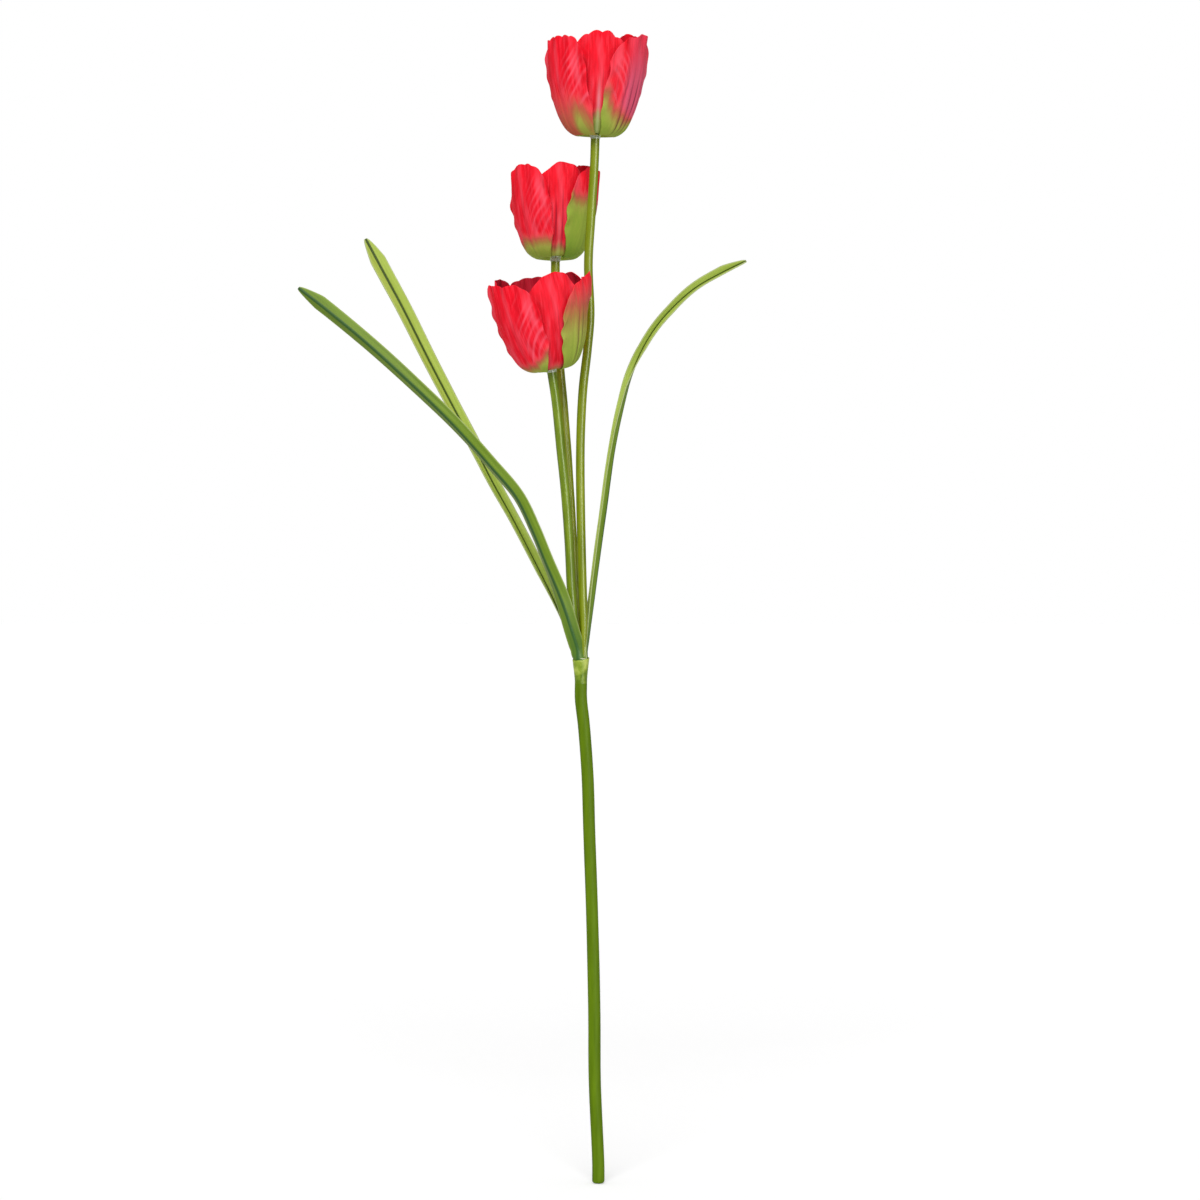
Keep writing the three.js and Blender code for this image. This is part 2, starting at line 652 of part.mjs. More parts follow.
function leaf({ length, width, root, facing, fold, bend }) {
  const rootCircle = footCircle + footRadius + SEAT_GAP + LEAF_THICKNESS;
  const direction = radians(root);
  const offset = new THREE.Vector3(Math.cos(direction), Math.sin(direction), 0).multiplyScalar(rootCircle);
  const foot = mouth.clone().add(offset).add(new THREE.Vector3(0, 0, SEAT_GAP));
  const line = bentLine(foot, bend, length);
  const point = (across, along, side) => {
    const tangent = line.getTangentAt(along).normalize();
    const angle = angleAt(facing, along);
    const outlook = new THREE.Vector3(Math.cos(angle), Math.sin(angle), 0);
    const sideways = tangent.clone().cross(outlook).normalize();
    const outward = sideways.clone().cross(tangent);
    const reach = across * leafHalfWidth(along, length, width);
    const folded = angleAt(fold, along) * THREE.MathUtils.smoothstep(along, 0, LEAF_SIDE.foldedShare);
    return line.getPointAt(along)
      .addScaledVector(sideways, reach * Math.cos(folded))
      .addScaledVector(outward, (side * LEAF_THICKNESS) / 2 - Math.abs(reach) * Math.sin(folded));
  };
  return sheetSolid(point, LEAF_COLUMNS, LEAF_ROWS);
}

for (const [name, shape] of Object.entries(LEAVES)) {
  place(spray, `${name}_leaf`, leaf(shape), finish("#9ab04a", 0.55));
}

export default spray;
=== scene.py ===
import math

import bmesh
import bpy
from mathutils import Matrix, Vector, noise
from mathutils.geometry import interpolate_bezier


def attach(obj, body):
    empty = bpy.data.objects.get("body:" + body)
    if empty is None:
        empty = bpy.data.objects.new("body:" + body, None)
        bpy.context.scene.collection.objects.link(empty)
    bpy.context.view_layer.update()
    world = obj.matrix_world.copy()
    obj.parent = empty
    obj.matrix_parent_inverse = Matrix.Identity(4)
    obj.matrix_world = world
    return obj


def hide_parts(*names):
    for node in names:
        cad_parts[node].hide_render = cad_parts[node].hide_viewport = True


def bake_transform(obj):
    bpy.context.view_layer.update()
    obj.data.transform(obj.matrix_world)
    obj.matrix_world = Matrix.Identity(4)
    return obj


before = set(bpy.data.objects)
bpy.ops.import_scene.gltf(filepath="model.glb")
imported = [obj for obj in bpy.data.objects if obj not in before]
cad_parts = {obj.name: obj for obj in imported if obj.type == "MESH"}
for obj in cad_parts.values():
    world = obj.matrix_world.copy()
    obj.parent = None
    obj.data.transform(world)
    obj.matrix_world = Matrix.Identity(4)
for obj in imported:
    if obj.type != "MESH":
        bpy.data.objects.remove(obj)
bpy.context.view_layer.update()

# Main stem: a green polyethylene coat extruded over a steel wire, cut square and melted round at its
# foot. It is bent by hand into a slack curve and carries the socket that gathers the branches.
MM = 0.001
UP = Vector((0, 0, 1))
STEM_LENGTH = 325
STEM_RADIUS = 4
STEM_FOOT_ROUNDING = 1.8
STEM_RING_SPACING = 3
STEM_SIDES = 28
STEM_UNEVENNESS = 0.12
STEM_UNEVEN_LENGTH = 30
STEM_SEATED_END = 20
CURVE_POINTS = 60
STEM_BENDS = (
    (0, 0, 12), (-2.3, 0, 67), (-2.6, 0, 112), (-4.1, 0, 177), (-5.9, 0, 229),
    (-7, 0, 265), (-9.4, 0, 298), (-11.3, 0, 315), (-11.3, 0, 325),
)


def linear(code):
    """An sRGB hex colour as linear red, green, blue and alpha."""
    shares = [int(code[i:i + 2], 16) / 255 for i in (1, 3, 5)]
    return (*[s / 12.92 if s <= 0.04045 else ((s + 0.055) / 1.055) ** 2.4 for s in shares], 1)


def start_material(name, sockets):
    """A material whose shader has these constant values on its own sockets."""
    material = bpy.data.materials.new(name)
    material.use_nodes = True
    shader = material.node_tree.nodes["Principled BSDF"]
    for socket, value in sockets.items():
        shader.inputs[socket].default_value = value
    return material, material.node_tree, shader


def add(tree, kind, sockets, stops=(), **settings):
    """Adds a node with its settings, its colour stops, and values or links on its sockets."""
    node = tree.nodes.new(kind)
    for name, value in settings.items():
        setattr(node, name, value)
    for i, (position, code) in enumerate(stops):
        ramp = node.color_ramp.elements
        stop = ramp[i] if i < 2 else ramp.new(position)
        stop.position = position
        stop.color = linear(code)
    for name, source in sockets.items():
        if isinstance(source, bpy.types.NodeSocket):
            tree.links.new(source, node.inputs[name])
        else:
            node.inputs[name].default_value = source
    return node


def grained_material(name, sockets, width, detail, stretch=1, stops=(), skin=(), dents=()):
    """A material with a grain, its width in mm and drawn out along Z, in its colours, roughness and dents."""
    material, tree, shader = start_material(name, sockets)
    at = add(tree, "ShaderNodeTexCoord", {}).outputs["Object"]
    drawn_out = add(tree, "ShaderNodeMapping", {"Vector": at, "Scale": (1, 1, stretch)}).outputs["Vector"]
    grain = add(
        tree, "ShaderNodeTexNoise", {"Vector": drawn_out, "Scale": 1 / (width * MM), "Detail": detail},
    ).outputs["Fac"]
    if stops:
        colours = add(tree, "ShaderNodeValToRGB", {"Fac": grain}, stops=stops).outputs["Color"]
        tree.links.new(colours, shader.inputs["Base Color"])
    if skin:
        roughness = add(
            tree, "ShaderNodeMapRange",
            {"Value": grain, "From Min": 0.3, "From Max": 0.7, "To Min": skin[0], "To Max": skin[1]},
        ).outputs["Result"]
        tree.links.new(roughness, shader.inputs["Roughness"])
    if dents:
        strength, depth = dents
        bumps = add(tree, "ShaderNodeBump", {"Height": grain, "Strength": strength, "Distance": depth * MM})
        tree.links.new(bumps.outputs["Normal"], shader.inputs["Normal"])
    return material


def smoothstep(value, low, high):
    """0 up to low, 1 from high on, and a soft rise between them."""
    share = min(max((value - low) / (high - low), 0), 1)
    return share * share * (3 - 2 * share)


def smooth_line(points, steps):
    """Evenly spaced points on a smooth curve through the given ones."""
    ends = [2 * points[0] - points[1], *points, 2 * points[-1] - points[-2]]
    dense = [points[0]]
    for before, start, stop, after in zip(ends, ends[1:], ends[2:], ends[3:]):
        a, b, c = (math.sqrt((q - p).length) for p, q in ((before, start), (start, stop), (stop, after)))
        leave = ((start - before) / a - (stop - before) / (a + b) + (stop - start) / b) * b
        arrive = ((stop - start) / b - (after - start) / (b + c) + (after - stop) / c) * b
        dense += interpolate_bezier(start, start + leave / 3, stop - arrive / 3, stop, CURVE_POINTS)[1:]
    travelled = [0]
    for p, q in zip(dense, dense[1:]):
        travelled.append(travelled[-1] + (q - p).length)
    even = []
    i = 0
    for step in range(steps + 1):
        goal = travelled[-1] * step / steps
        while i < len(dense) - 2 and travelled[i + 1] < goal:
            i += 1
        share = (goal - travelled[i]) / (travelled[i + 1] - travelled[i])
        even.append(dense[i].lerp(dense[i + 1], share))
    return even


def bent_line(start, bends, length):
    """A hand-bent line of the given length, in 1 mm steps or so, shaped by its bends from its start."""
    drawn = smooth_line([Vector(), *[Vector(bend) for bend in bends]], round(length))
    share = length / sum((q - p).length for p, q in zip(drawn, drawn[1:]))
    return [start + point * share for point in drawn]


def place_at(line, length, distance):
    """The frame at a distance along a line, with its Z along the line; it runs on straight past the ends."""
    station = distance / length * (len(line) - 1)
    i = min(max(int(station), 0), len(line) - 2)
    ahead = line[min(i + 2, len(line) - 1)] - line[max(i - 1, 0)]
    point = line[i] + (line[i + 1] - line[i]) * (station - i)
    return Matrix.Translation(point) @ UP.rotation_difference(ahead).to_matrix().to_4x4()


def draw_tube(mesh, places, radii, sides):
    """A closed round tube through the placed rings: a circle that is extruded from ring to ring."""
    rings = [place @ Matrix.Diagonal((r, r, 1, 1)) for place, r in zip(places, radii)]
    start = bmesh.ops.create_circle(mesh, segments=sides, radius=1, matrix=rings[0])["verts"]
    rim = list({edge for vert in start for edge in vert.link_edges})
    foot = rim
    for here, there in zip(rings, rings[1:]):
        grown = bmesh.ops.extrude_edge_only(mesh, edges=rim)["geom"]
        verts = {item for item in grown if isinstance(item, bmesh.types.BMVert)}
        edges = [item for item in grown if isinstance(item, bmesh.types.BMEdge)]
        rim = [edge for edge in edges if verts.issuperset(edge.verts)]
        bmesh.ops.transform(mesh, matrix=there @ here.inverted(), verts=list(verts))
    bmesh.ops.edgeloop_fill(mesh, edges=foot)
    bmesh.ops.edgeloop_fill(mesh, edges=rim)
    bmesh.ops.recalc_face_normals(mesh, faces=mesh.faces)


def make_piece(name, mesh, *materials, crease=180):
    """Turns a mesh drawn in millimetres into a piece at the origin, smooth up to the crease angle."""
    bmesh.ops.scale(mesh, vec=(MM, MM, MM), verts=mesh.verts)
    data = bpy.data.meshes.new(name)
    mesh.to_mesh(data)
    mesh.free()
    data.shade_smooth()
    data.set_sharp_from_angle(angle=math.radians(crease))
    for material in materials:
        data.materials.append(material)
    piece = bpy.data.objects.new(name, data)
    bpy.context.scene.collection.objects.link(piece)
    return piece


# Extruded polyethylene with a satin skin: soft highlights, a mottle of two greens drawn out along the
# stem by the extruder, and a faint orange peel.
satin_coat = grained_material(
    "satin_polyethylene_coat", {"IOR": 1.51, "Specular IOR Level": 0.06}, width=4, detail=4, stretch=0.12,
    stops=((0.3, "#4f6a07"), (0.7, "#627f0c")), skin=(0.4, 0.54),
)
tree = satin_coat.node_tree
at = add(tree, "ShaderNodeTexCoord", {}).outputs["Object"]
peel = add(tree, "ShaderNodeTexNoise", {"Vector": at, "Scale": 1 / (1.1 * MM), "Detail": 2}).outputs["Fac"]
dents = add(tree, "ShaderNodeBump", {"Height": peel, "Strength": 0.25, "Distance": 0.06 * MM}).outputs["Normal"]
tree.links.new(dents, tree.nodes["Principled BSDF"].inputs["Normal"])

stem_line = bent_line(Vector(), STEM_BENDS, STEM_LENGTH)
foot_angles = [math.radians(angle) for angle in range(0, 91, 15)]
stations = [
    (
        STEM_FOOT_ROUNDING * (1 - math.cos(angle)),
        STEM_RADIUS - STEM_FOOT_ROUNDING * (1 - math.sin(angle)),
    )
    for angle in foot_angles
]
ring_count = round(STEM_LENGTH / STEM_RING_SPACING)
for i in range(1, ring_count + 1):
    height = STEM_FOOT_ROUNDING + (STEM_LENGTH - STEM_FOOT_ROUNDING) * i / ring_count
    wander = STEM_UNEVENNESS * noise.noise(Vector((0.5, 0.5, height / STEM_UNEVEN_LENGTH)))
    stations.append((height, STEM_RADIUS + wander * smoothstep(STEM_LENGTH - height, 0, STEM_SEATED_END)))
mesh = bmesh.new()
draw_tube(
    mesh,
    [place_at(stem_line, STEM_LENGTH, height) for height, radius in stations],
    [radius for height, radius in stations],
    STEM_SIDES,
)
stem_coat = make_piece("stem_coat", mesh, satin_coat, crease=60)
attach(stem_coat, "stem")
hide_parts("main_stem")

# Wires: drawn galvanised steel, hidden in the coats, the glue and the flower hubs. The main wire and the
# ends that are set in the glue keep their plain solids; the branch wires bend along with their coats.

# Drawn steel: a soft metal gleam, broken by grey streaks along the wire.
drawn_steel = grained_material(
    "drawn_galvanised_steel", {"Metallic": 1}, width=0.4, detail=3, stretch=0.03,
    stops=((0.3, "#7d8084"), (0.7, "#a4a7aa")), skin=(0.3, 0.45),
)
for node in ("main_wire", "upper_wire_tail", "middle_wire_tail", "lower_wire_tail"):
    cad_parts[node].data.materials.clear()
    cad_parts[node].data.materials.append(drawn_steel)

# Branch socket: a moulded polyethylene cup on the end of the main stem, flared to a thin, slightly skewed lip.
# The branch wires and the leaf roots are set in it with hot glue.
SOCKET_GAP = 0.3
SOCKET_HEIGHT = 16.5
SOCKET_MOUTH_RADIUS = 5.5
SOCKET_WALL = 0.7
SOCKET_DEPTH = 8
SOCKET_SIDES = 40
SOCKET_FLARE_STEPS = 12
SOCKET_PALING = 17
LIP_SKEW_RIGHT = 0.8
LIP_SKEW_BACK = 1.2
LIP_SINK = 0.5
LIP_UNEVENNESS = 0.5


def draw_turned(mesh, profile, sides, place):
    """A closed turned shape: a profile of (radius, height) pairs that is spun about Z and then placed."""
    verts = [mesh.verts.new((radius, 0, height)) for radius, height in profile]
    edges = [mesh.edges.new(pair) for pair in zip(verts, verts[1:])]
    bmesh.ops.spin(
        mesh, geom=[*verts, *edges], axis=UP, cent=(0, 0, 0), angle=math.tau, steps=sides, use_merge=True,
    )
    bmesh.ops.remove_doubles(mesh, verts=mesh.verts, dist=0.001)
    bmesh.ops.recalc_face_normals(mesh, faces=mesh.faces)
    bmesh.ops.transform(mesh, matrix=place, verts=mesh.verts)


# Moulded polyethylene: a semi-gloss skin with flow marks from the mould, as green as the stem at its foot
# and paler towards the lip.
moulded_cup, tree, shader = start_material("moulded_polyethylene_cup", {"IOR": 1.51, "Specular IOR Level": 0.2})
at = add(tree, "ShaderNodeTexCoord", {}).outputs["Object"]
flow = add(
    tree, "ShaderNodeTexNoise", {"Vector": at, "Scale": 1 / (5 * MM), "Detail": 5, "Distortion": 0.6},
).outputs["Fac"]
height = add(tree, "ShaderNodeSeparateXYZ", {"Vector": at}).outputs["Z"]
paling = add(
    tree, "ShaderNodeMapRange",
    {"Value": height, "From Min": STEM_LENGTH * MM, "From Max": (STEM_LENGTH + SOCKET_PALING) * MM,
     "To Min": -0.25, "To Max": 0.2},
).outputs["Result"]
tone = add(tree, "ShaderNodeMath", {0: flow, 1: paling}, operation="ADD").outputs[0]
greens = add(
    tree, "ShaderNodeValToRGB", {"Fac": tone},
    stops=((0.2, "#567208"), (0.45, "#869c2c"), (0.8, "#bcc862")),
).outputs["Color"]
tree.links.new(greens, shader.inputs["Base Color"])
skin = add(
    tree, "ShaderNodeMapRange",
    {"Value": flow, "From Min": 0.3, "From Max": 0.7, "To Min": 0.28, "To Max": 0.45},
).outputs["Result"]
tree.links.new(skin, shader.inputs["Roughness"])
dents = add(tree, "ShaderNodeBump", {"Height": flow, "Strength": 0.4, "Distance": 0.25 * MM}).outputs["Normal"]
tree.links.new(dents, shader.inputs["Normal"])

stem_top = stem_line[-1]
mouth = stem_top + UP * (SOCKET_GAP + SOCKET_HEIGHT)
flare = [
    (
        STEM_RADIUS + (SOCKET_MOUTH_RADIUS - STEM_RADIUS) * smoothstep(i, 0, SOCKET_FLARE_STEPS + 2),
        -SOCKET_HEIGHT * (1 - i / SOCKET_FLARE_STEPS),
    )
    for i in range(1, SOCKET_FLARE_STEPS)
]
lip = [
    (
        SOCKET_MOUTH_RADIUS - SOCKET_WALL / 2 + SOCKET_WALL / 2 * math.cos(math.radians(angle)),
        SOCKET_WALL / 2 * (math.sin(math.radians(angle)) - 1),
    )
    for angle in range(0, 181, 30)
]
cup_foot = -SOCKET_HEIGHT - SOCKET_GAP
cup_floor = -SOCKET_DEPTH
mesh = bmesh.new()
draw_turned(
    mesh,
    [
        (0, cup_foot), (STEM_RADIUS, cup_foot), *flare, *lip,
        (SOCKET_MOUTH_RADIUS - 1.3 * SOCKET_WALL, cup_floor), (0, cup_floor),
    ],
    SOCKET_SIDES,
    Matrix(),
)
for vert in mesh.verts:
    near_lip = smoothstep(vert.co.z, -SOCKET_HEIGHT, 0)
    uneven = noise.noise(vert.co.normalized() * 1.6)
    skew = (LIP_SKEW_RIGHT * vert.co.x + LIP_SKEW_BACK * vert.co.y) / SOCKET_MOUTH_RADIUS - LIP_SINK
    vert.co.z += near_lip * (skew + LIP_UNEVENNESS * uneven)
bmesh.ops.translate(mesh, vec=mouth, verts=mesh.verts)
socket_cup = make_piece("socket_cup", mesh, moulded_cup, crease=50)
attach(socket_cup, "stem")
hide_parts("branch_socket")

# Glue plug: cloudy hot-melt glue, squeezed hot into the cup round the wire ends, where it sets and holds them.
# It keeps its plain solid, because it shows only between the leaf roots.

# Hot-melt glue: a waxy sheen with light passing into it, and clouds of cream and pale green.
hot_glue = grained_material(
    "hot_melt_glue", {"IOR": 1.48, "Roughness": 0.25, "Subsurface Weight": 0.3, "Subsurface Scale": 2 * MM},
    width=2.5, detail=3, stops=((0.3, "#a9b27a"), (0.7, "#cdd2b0")),
)
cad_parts["glue_plug"].data.materials.clear()
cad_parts["glue_plug"].data.materials.append(hot_glue)

# Branches: thinner green polyethylene coats over steel wires, glossier than the main stem. Each tapers to a
# foot in the socket, leans out of the bundle and ends in the bare wire peg that carries its flower.
BRANCH_RADIUS = 2.9
BRANCH_FOOT_RADIUS = 1.6
BRANCH_FOOT_SPACING = 3.6
BRANCH_FOOT_CIRCLE = BRANCH_FOOT_SPACING / math.sqrt(3)
BRANCH_TAPER = 30
BRANCH_SET_IN = 4
BRANCH_SIDES = 22
BRANCH_RING_SPACING = 3
BRANCH_UNEVENNESS = 0.1
BRANCH_UNEVEN_LENGTH = 24
BRANCH_END_ROUNDING = 0.4
WIRE_RADIUS = 1
WIRE_FROM = 3.3
WIRE_PEG = 9.6
WIRE_FIRST_RING = 9
WIRE_RING_SPACING = 6
WIRE_SIDES = 10
# Each branch: its length, the side of the mouth that its foot is on, and its bends.
BRANCHES = {
    "upper": (339, -30, (
        (0.1, -0.8, 20), (-0.7, -1.2, 42), (-1.5, 0.2, 72), (-2.2, 4, 133), (-0.6, 6, 172), (2.3, 7, 198),
        (4.2, 7.5, 221), (3, 6.5, 254), (4.6, 5, 283), (6.9, 3.2, 319), (7.5, 2.2, 338),
    )),
    "middle": (264, 90, (
        (-1.6, 2.6, 20), (-3.6, 6, 42), (-7, 13, 101), (-9.2, 17, 134), (-11.9, 22, 167), (-13.6, 25, 185),
        (-16.2, 30, 220), (-17, 32.6, 250), (-17, 32.9, 261),
    )),
    "lower": (187, 210, (
        (-2.5, -1.2, 20), (-4.4, -3, 42), (-6, -6, 74), (-7.8, -9, 100), (-11, -12.8, 132),
        (-14.3, -16.6, 164), (-17.4, -19.6, 185),
    )),
}

# Extruded polyethylene with a glossy skin: a long soft bright line from the lamp over olive, or over a fresher
# green on the lower branch, drawn out along the stem and darker in the hollows of the mottle.
glossy_coats = {
    name: grained_material(
        f"glossy_polyethylene_{name}_coat", {"IOR": 1.51, "Specular IOR Level": 0.3}, width=2.6, detail=4,
        stretch=0.06, stops=stops, skin=(0.22, 0.32), dents=(0.2, 0.05),
    )
    for name, stops in {
        "upper": ((0.28, "#66750a"), (0.5, "#78870c"), (0.72, "#8a9618")),
        # The middle coat's olive is painted lighter than the upper's, as light on a branch that stands in shade behind
        # the others.
        "middle": ((0.28, "#6e7a0c"), (0.5, "#808b12"), (0.72, "#929a22")),
        "lower": ((0.28, "#566c0a"), (0.5, "#6a810e"), (0.72, "#7c9318")),
    }.items()
}

necks = {}
for name, (length, direction, bends) in BRANCHES.items():
    turn = math.radians(direction)
    foot = mouth + Vector((math.cos(turn), math.sin(turn), 0)) * BRANCH_FOOT_CIRCLE + UP * BRANCH_FOOT_RADIUS
    line = bent_line(foot, bends, length)
    necks[name] = place_at(line, length, length)
    heights = [-BRANCH_SET_IN]
    ring_count = round(length / BRANCH_RING_SPACING)
    heights += [length * i / ring_count for i in range(ring_count)]
    heights += [length - BRANCH_END_ROUNDING, length]
    radii = []
    for height in heights:
        swell = smoothstep(height, 0, BRANCH_TAPER)
        wander = BRANCH_UNEVENNESS * noise.noise(Vector((direction, 0.5, height / BRANCH_UNEVEN_LENGTH))) * swell
        radii.append(BRANCH_FOOT_RADIUS + (BRANCH_RADIUS - BRANCH_FOOT_RADIUS) * swell + wander)
    radii[-1] -= BRANCH_END_ROUNDING
    mesh = bmesh.new()
    draw_tube(mesh, [place_at(line, length, height) for height in heights], radii, BRANCH_SIDES)
    coat = make_piece(f"{name}_branch_coat", mesh, glossy_coats[name], crease=60)
    heights = [WIRE_FROM, *range(WIRE_FIRST_RING, length, WIRE_RING_SPACING), length + WIRE_PEG]
    radii = [WIRE_RADIUS] * len(heights)
    mesh = bmesh.new()
    draw_tube(mesh, [place_at(line, length, height) for height in heights], radii, WIRE_SIDES)
    core = make_piece(f"{name}_branch_core", mesh, drawn_steel, crease=60)
    for piece, node, slot in ((coat, "stem", "branch_coat"), (core, "wire", "wire_steel")):
        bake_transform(piece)
        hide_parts(f"{name}_branch_{node}")

# Collars: short clear styrene rings pushed onto the wire pegs, which keep each flower from sliding down. A thin
# skirt comes down over the end of the coat.
COLLAR_FOOT = 0.3
COLLAR_SKIRT = -2.2
COLLAR_HEIGHT = 2
COLLAR_BORE_RADIUS = 1.3
COLLAR_FOOT_RADIUS = 3.2
COLLAR_WAIST_RADIUS = 3.75
COLLAR_RADIUS = 4.2
COLLAR_ROUNDING = 0.3
COLLAR_FIT = 0.1
COLLAR_SIDES = 28

# Clear moulded styrene, thin enough to see the stem through: sharp white glints and a faint milky cast.
clear_styrene = grained_material(
    "clear_moulded_styrene", {"IOR": 1.59, "Alpha": 0.4, "Base Color": linear("#dfe6d0")}, width=1.5, detail=2,
    skin=(0.04, 0.16), dents=(0.3, 0.15),
)

for name, neck in necks.items():
    top = COLLAR_FOOT + COLLAR_HEIGHT
    mesh = bmesh.new()
    draw_turned(
        mesh,
        [
            (COLLAR_BORE_RADIUS, COLLAR_FOOT), (BRANCH_RADIUS + COLLAR_FIT, COLLAR_FOOT),
            (BRANCH_RADIUS + COLLAR_FIT, COLLAR_SKIRT), (COLLAR_FOOT_RADIUS, COLLAR_SKIRT),
            (COLLAR_FOOT_RADIUS + 0.2, COLLAR_SKIRT + COLLAR_ROUNDING), (COLLAR_WAIST_RADIUS, COLLAR_FOOT + 0.4),
            (COLLAR_RADIUS, top - COLLAR_ROUNDING), (COLLAR_RADIUS - COLLAR_ROUNDING, top),
            (COLLAR_BORE_RADIUS, top), (COLLAR_BORE_RADIUS, COLLAR_FOOT),
        ],
        COLLAR_SIDES,
        neck,
    )
    collar = make_piece(f"{name}_collar", mesh, clear_styrene, crease=40)
    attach(collar, f"{name}_branch")
    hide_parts(f"{name}_clear_collar")

# Flower hubs: a green moulded receptacle sits on each wire peg. A pale pistil with a three-lobed stigma
# plugs into it, and a ring with six dark stamens is threaded over the pistil.
HUB_FOOT = 2.6
HUB_TOP = 14.6
PISTIL_FOOT = 14.9
PISTIL_TOP = 36.9
PISTIL_DIP = 36.2
PISTIL_SIDES = 36
STIGMA_FOOT = 34.5
STIGMA_LOBES = 3
STAMEN_CIRCLE = 3.1
STAMEN_HEIGHT = 20
STAMEN_COUNT = 6
STAMEN_LEAN = 12
STAMEN_SIDES = 10
HUB_SIDES = 32

# Matt moulded polyethylene in three colours, each with a fine grain from the mould.
hub_finishes = {
    finish: grained_material(
        finish, {"IOR": 1.51, "Roughness": roughness}, width=1.4, detail=4, stops=((0.3, dark), (0.7, light)),
        dents=(0.5, 0.15),
    )
    for finish, dark, light, roughness in (
        ("hub_polyethylene", "#6f8a2c", "#8ba646", 0.55),
        ("pistil_polyethylene", "#a3a648", "#c6c86a", 0.5),
        ("stamen_polyethylene", "#2a1d17", "#4a362b", 0.65),
    )
}

for name, neck in necks.items():
    mesh = bmesh.new()
    draw_turned(
        mesh,
        [
            (0, HUB_FOOT), (3.2, HUB_FOOT), (3.5, HUB_FOOT + 0.3), (5.3, 3.2), (5.6, 3.7), (5.6, 11.2),
            (5.3, 11.9), (4.3, 14.4), (4, HUB_TOP), (0, HUB_TOP),
        ],
        HUB_SIDES,
        neck,
    )
    hub = make_piece(f"{name}_hub", mesh, hub_finishes["hub_polyethylene"], crease=40)
    mesh = bmesh.new()
    profile = smooth_line(
        [
            Vector((1.8, 0, PISTIL_FOOT)), Vector((1.85, 0, 24)), Vector((1.55, 0, 31)), Vector((1.4, 0, 33)),
            Vector((2.3, 0, 34.4)), Vector((2.75, 0, 35.6)), Vector((2.3, 0, PISTIL_TOP)),
            Vector((0.02, 0, PISTIL_DIP)),
        ],
        PISTIL_SIDES,
    )
    outline = [(0, PISTIL_FOOT), *[(point.x, point.z) for point in profile], (0, PISTIL_DIP)]
    draw_turned(mesh, outline, PISTIL_SIDES, Matrix())
    for vert in mesh.verts:
        wave = math.cos(STIGMA_LOBES * math.atan2(vert.co.y, vert.co.x))
        lobes = 1 + 0.25 * wave * smoothstep(vert.co.z, STIGMA_FOOT - 2, STIGMA_FOOT)
        ribs = 1 + 0.05 * wave * smoothstep(STIGMA_FOOT - vert.co.z, 0, 6)
        vert.co.x *= lobes * ribs
        vert.co.y *= lobes * ribs
    bmesh.ops.transform(mesh, matrix=neck, verts=mesh.verts)
    pistil = make_piece(f"{name}_style", mesh, hub_finishes["pistil_polyethylene"], crease=60)
    mesh = bmesh.new()
    draw_turned(
        mesh,
        [
            (2.1, PISTIL_FOOT), (4.1, PISTIL_FOOT), (4.1, PISTIL_FOOT + 1.2), (3.7, PISTIL_FOOT + 1.6),
            (2.1, PISTIL_FOOT + 1.6), (2.1, PISTIL_FOOT),
        ],
        HUB_SIDES,
        Matrix(),
    )
    for i in range(STAMEN_COUNT):
        turn = Matrix.Rotation(math.tau * i / STAMEN_COUNT, 4, "Z")
        stand = Matrix.Translation((STAMEN_CIRCLE, 0, PISTIL_FOOT)) @ Matrix.Rotation(math.radians(STAMEN_LEAN), 4, "Y")
        shape = (
            (1, 0.6), (5, 0.5), (11.8, 0.45), (12, 0.7), (13, 1.1), (15.5, 1.25), (18, 1.05), (19.3, 0.7),
            (STAMEN_HEIGHT, 0.2),
        )
        stamen = bmesh.new()
        draw_tube(
            stamen,
            [turn @ stand @ Matrix.Translation((0, 0, height)) for height, radius in shape],
            [radius for height, radius in shape],
            STAMEN_SIDES,
        )
        part = bpy.data.meshes.new("stamen")
        stamen.to_mesh(part)
        stamen.free()
        mesh.from_mesh(part)
        bpy.data.meshes.remove(part)
    bmesh.ops.transform(mesh, matrix=neck, verts=mesh.verts)
    stamens = make_piece(f"{name}_stamen_ring", mesh, hub_finishes["stamen_polyethylene"], crease=60)
    for piece, node, slot in (
        (hub, "receptacle", "receptacle_plastic"),
        (pistil, "pistil", "pistil_plastic"),
        (stamens, "stamens", "stamen_plastic"),
    ):
        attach(piece, f"{name}_head")
        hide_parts(f"{name}_{node}")

# Petals: satin-woven polyester cloth, printed red with a green foot, die-cut with a crimped top edge and
# pressed hot over a mould that leaves a mid crease and veins. They are glued round the hub in two rings.
PETAL_SEAT = 6.15
CUP_RADIUS = 32.2
PETAL_THICKNESS = 0.4
PETAL_COLUMNS = 80
PETAL_ROWS = 120
PETAL_LINE_STEPS = 300
WIDEST_AT = 0.6
EDGE_WAVER = 0.025
EDGE_WAVES = 3.6
VEIN_SPACING = 6.2
VEIN_DEPTH = 0.6
VEIN_SLOPE = 1.7
VEIN_WOBBLE = 0.35
PLEAT_SPACING = 0.23
PLEAT_DEPTH = 0.3
CREASE_WIDTH = 1.3
CREASE_DEPTH = 0.45
ROLL_DEPTH = 0.45
SIDE_RUFFLE = 0.6
SIDE_RUFFLE_LENGTH = 13
TOP_RUFFLE = 0.7
TOP_RUFFLE_LENGTH = 11
FIBRE_WIDTH = 0.9
LIGHT_AND_SHADE_BAND_WIDTH = 8
WEAVE_PITCH = 0.9
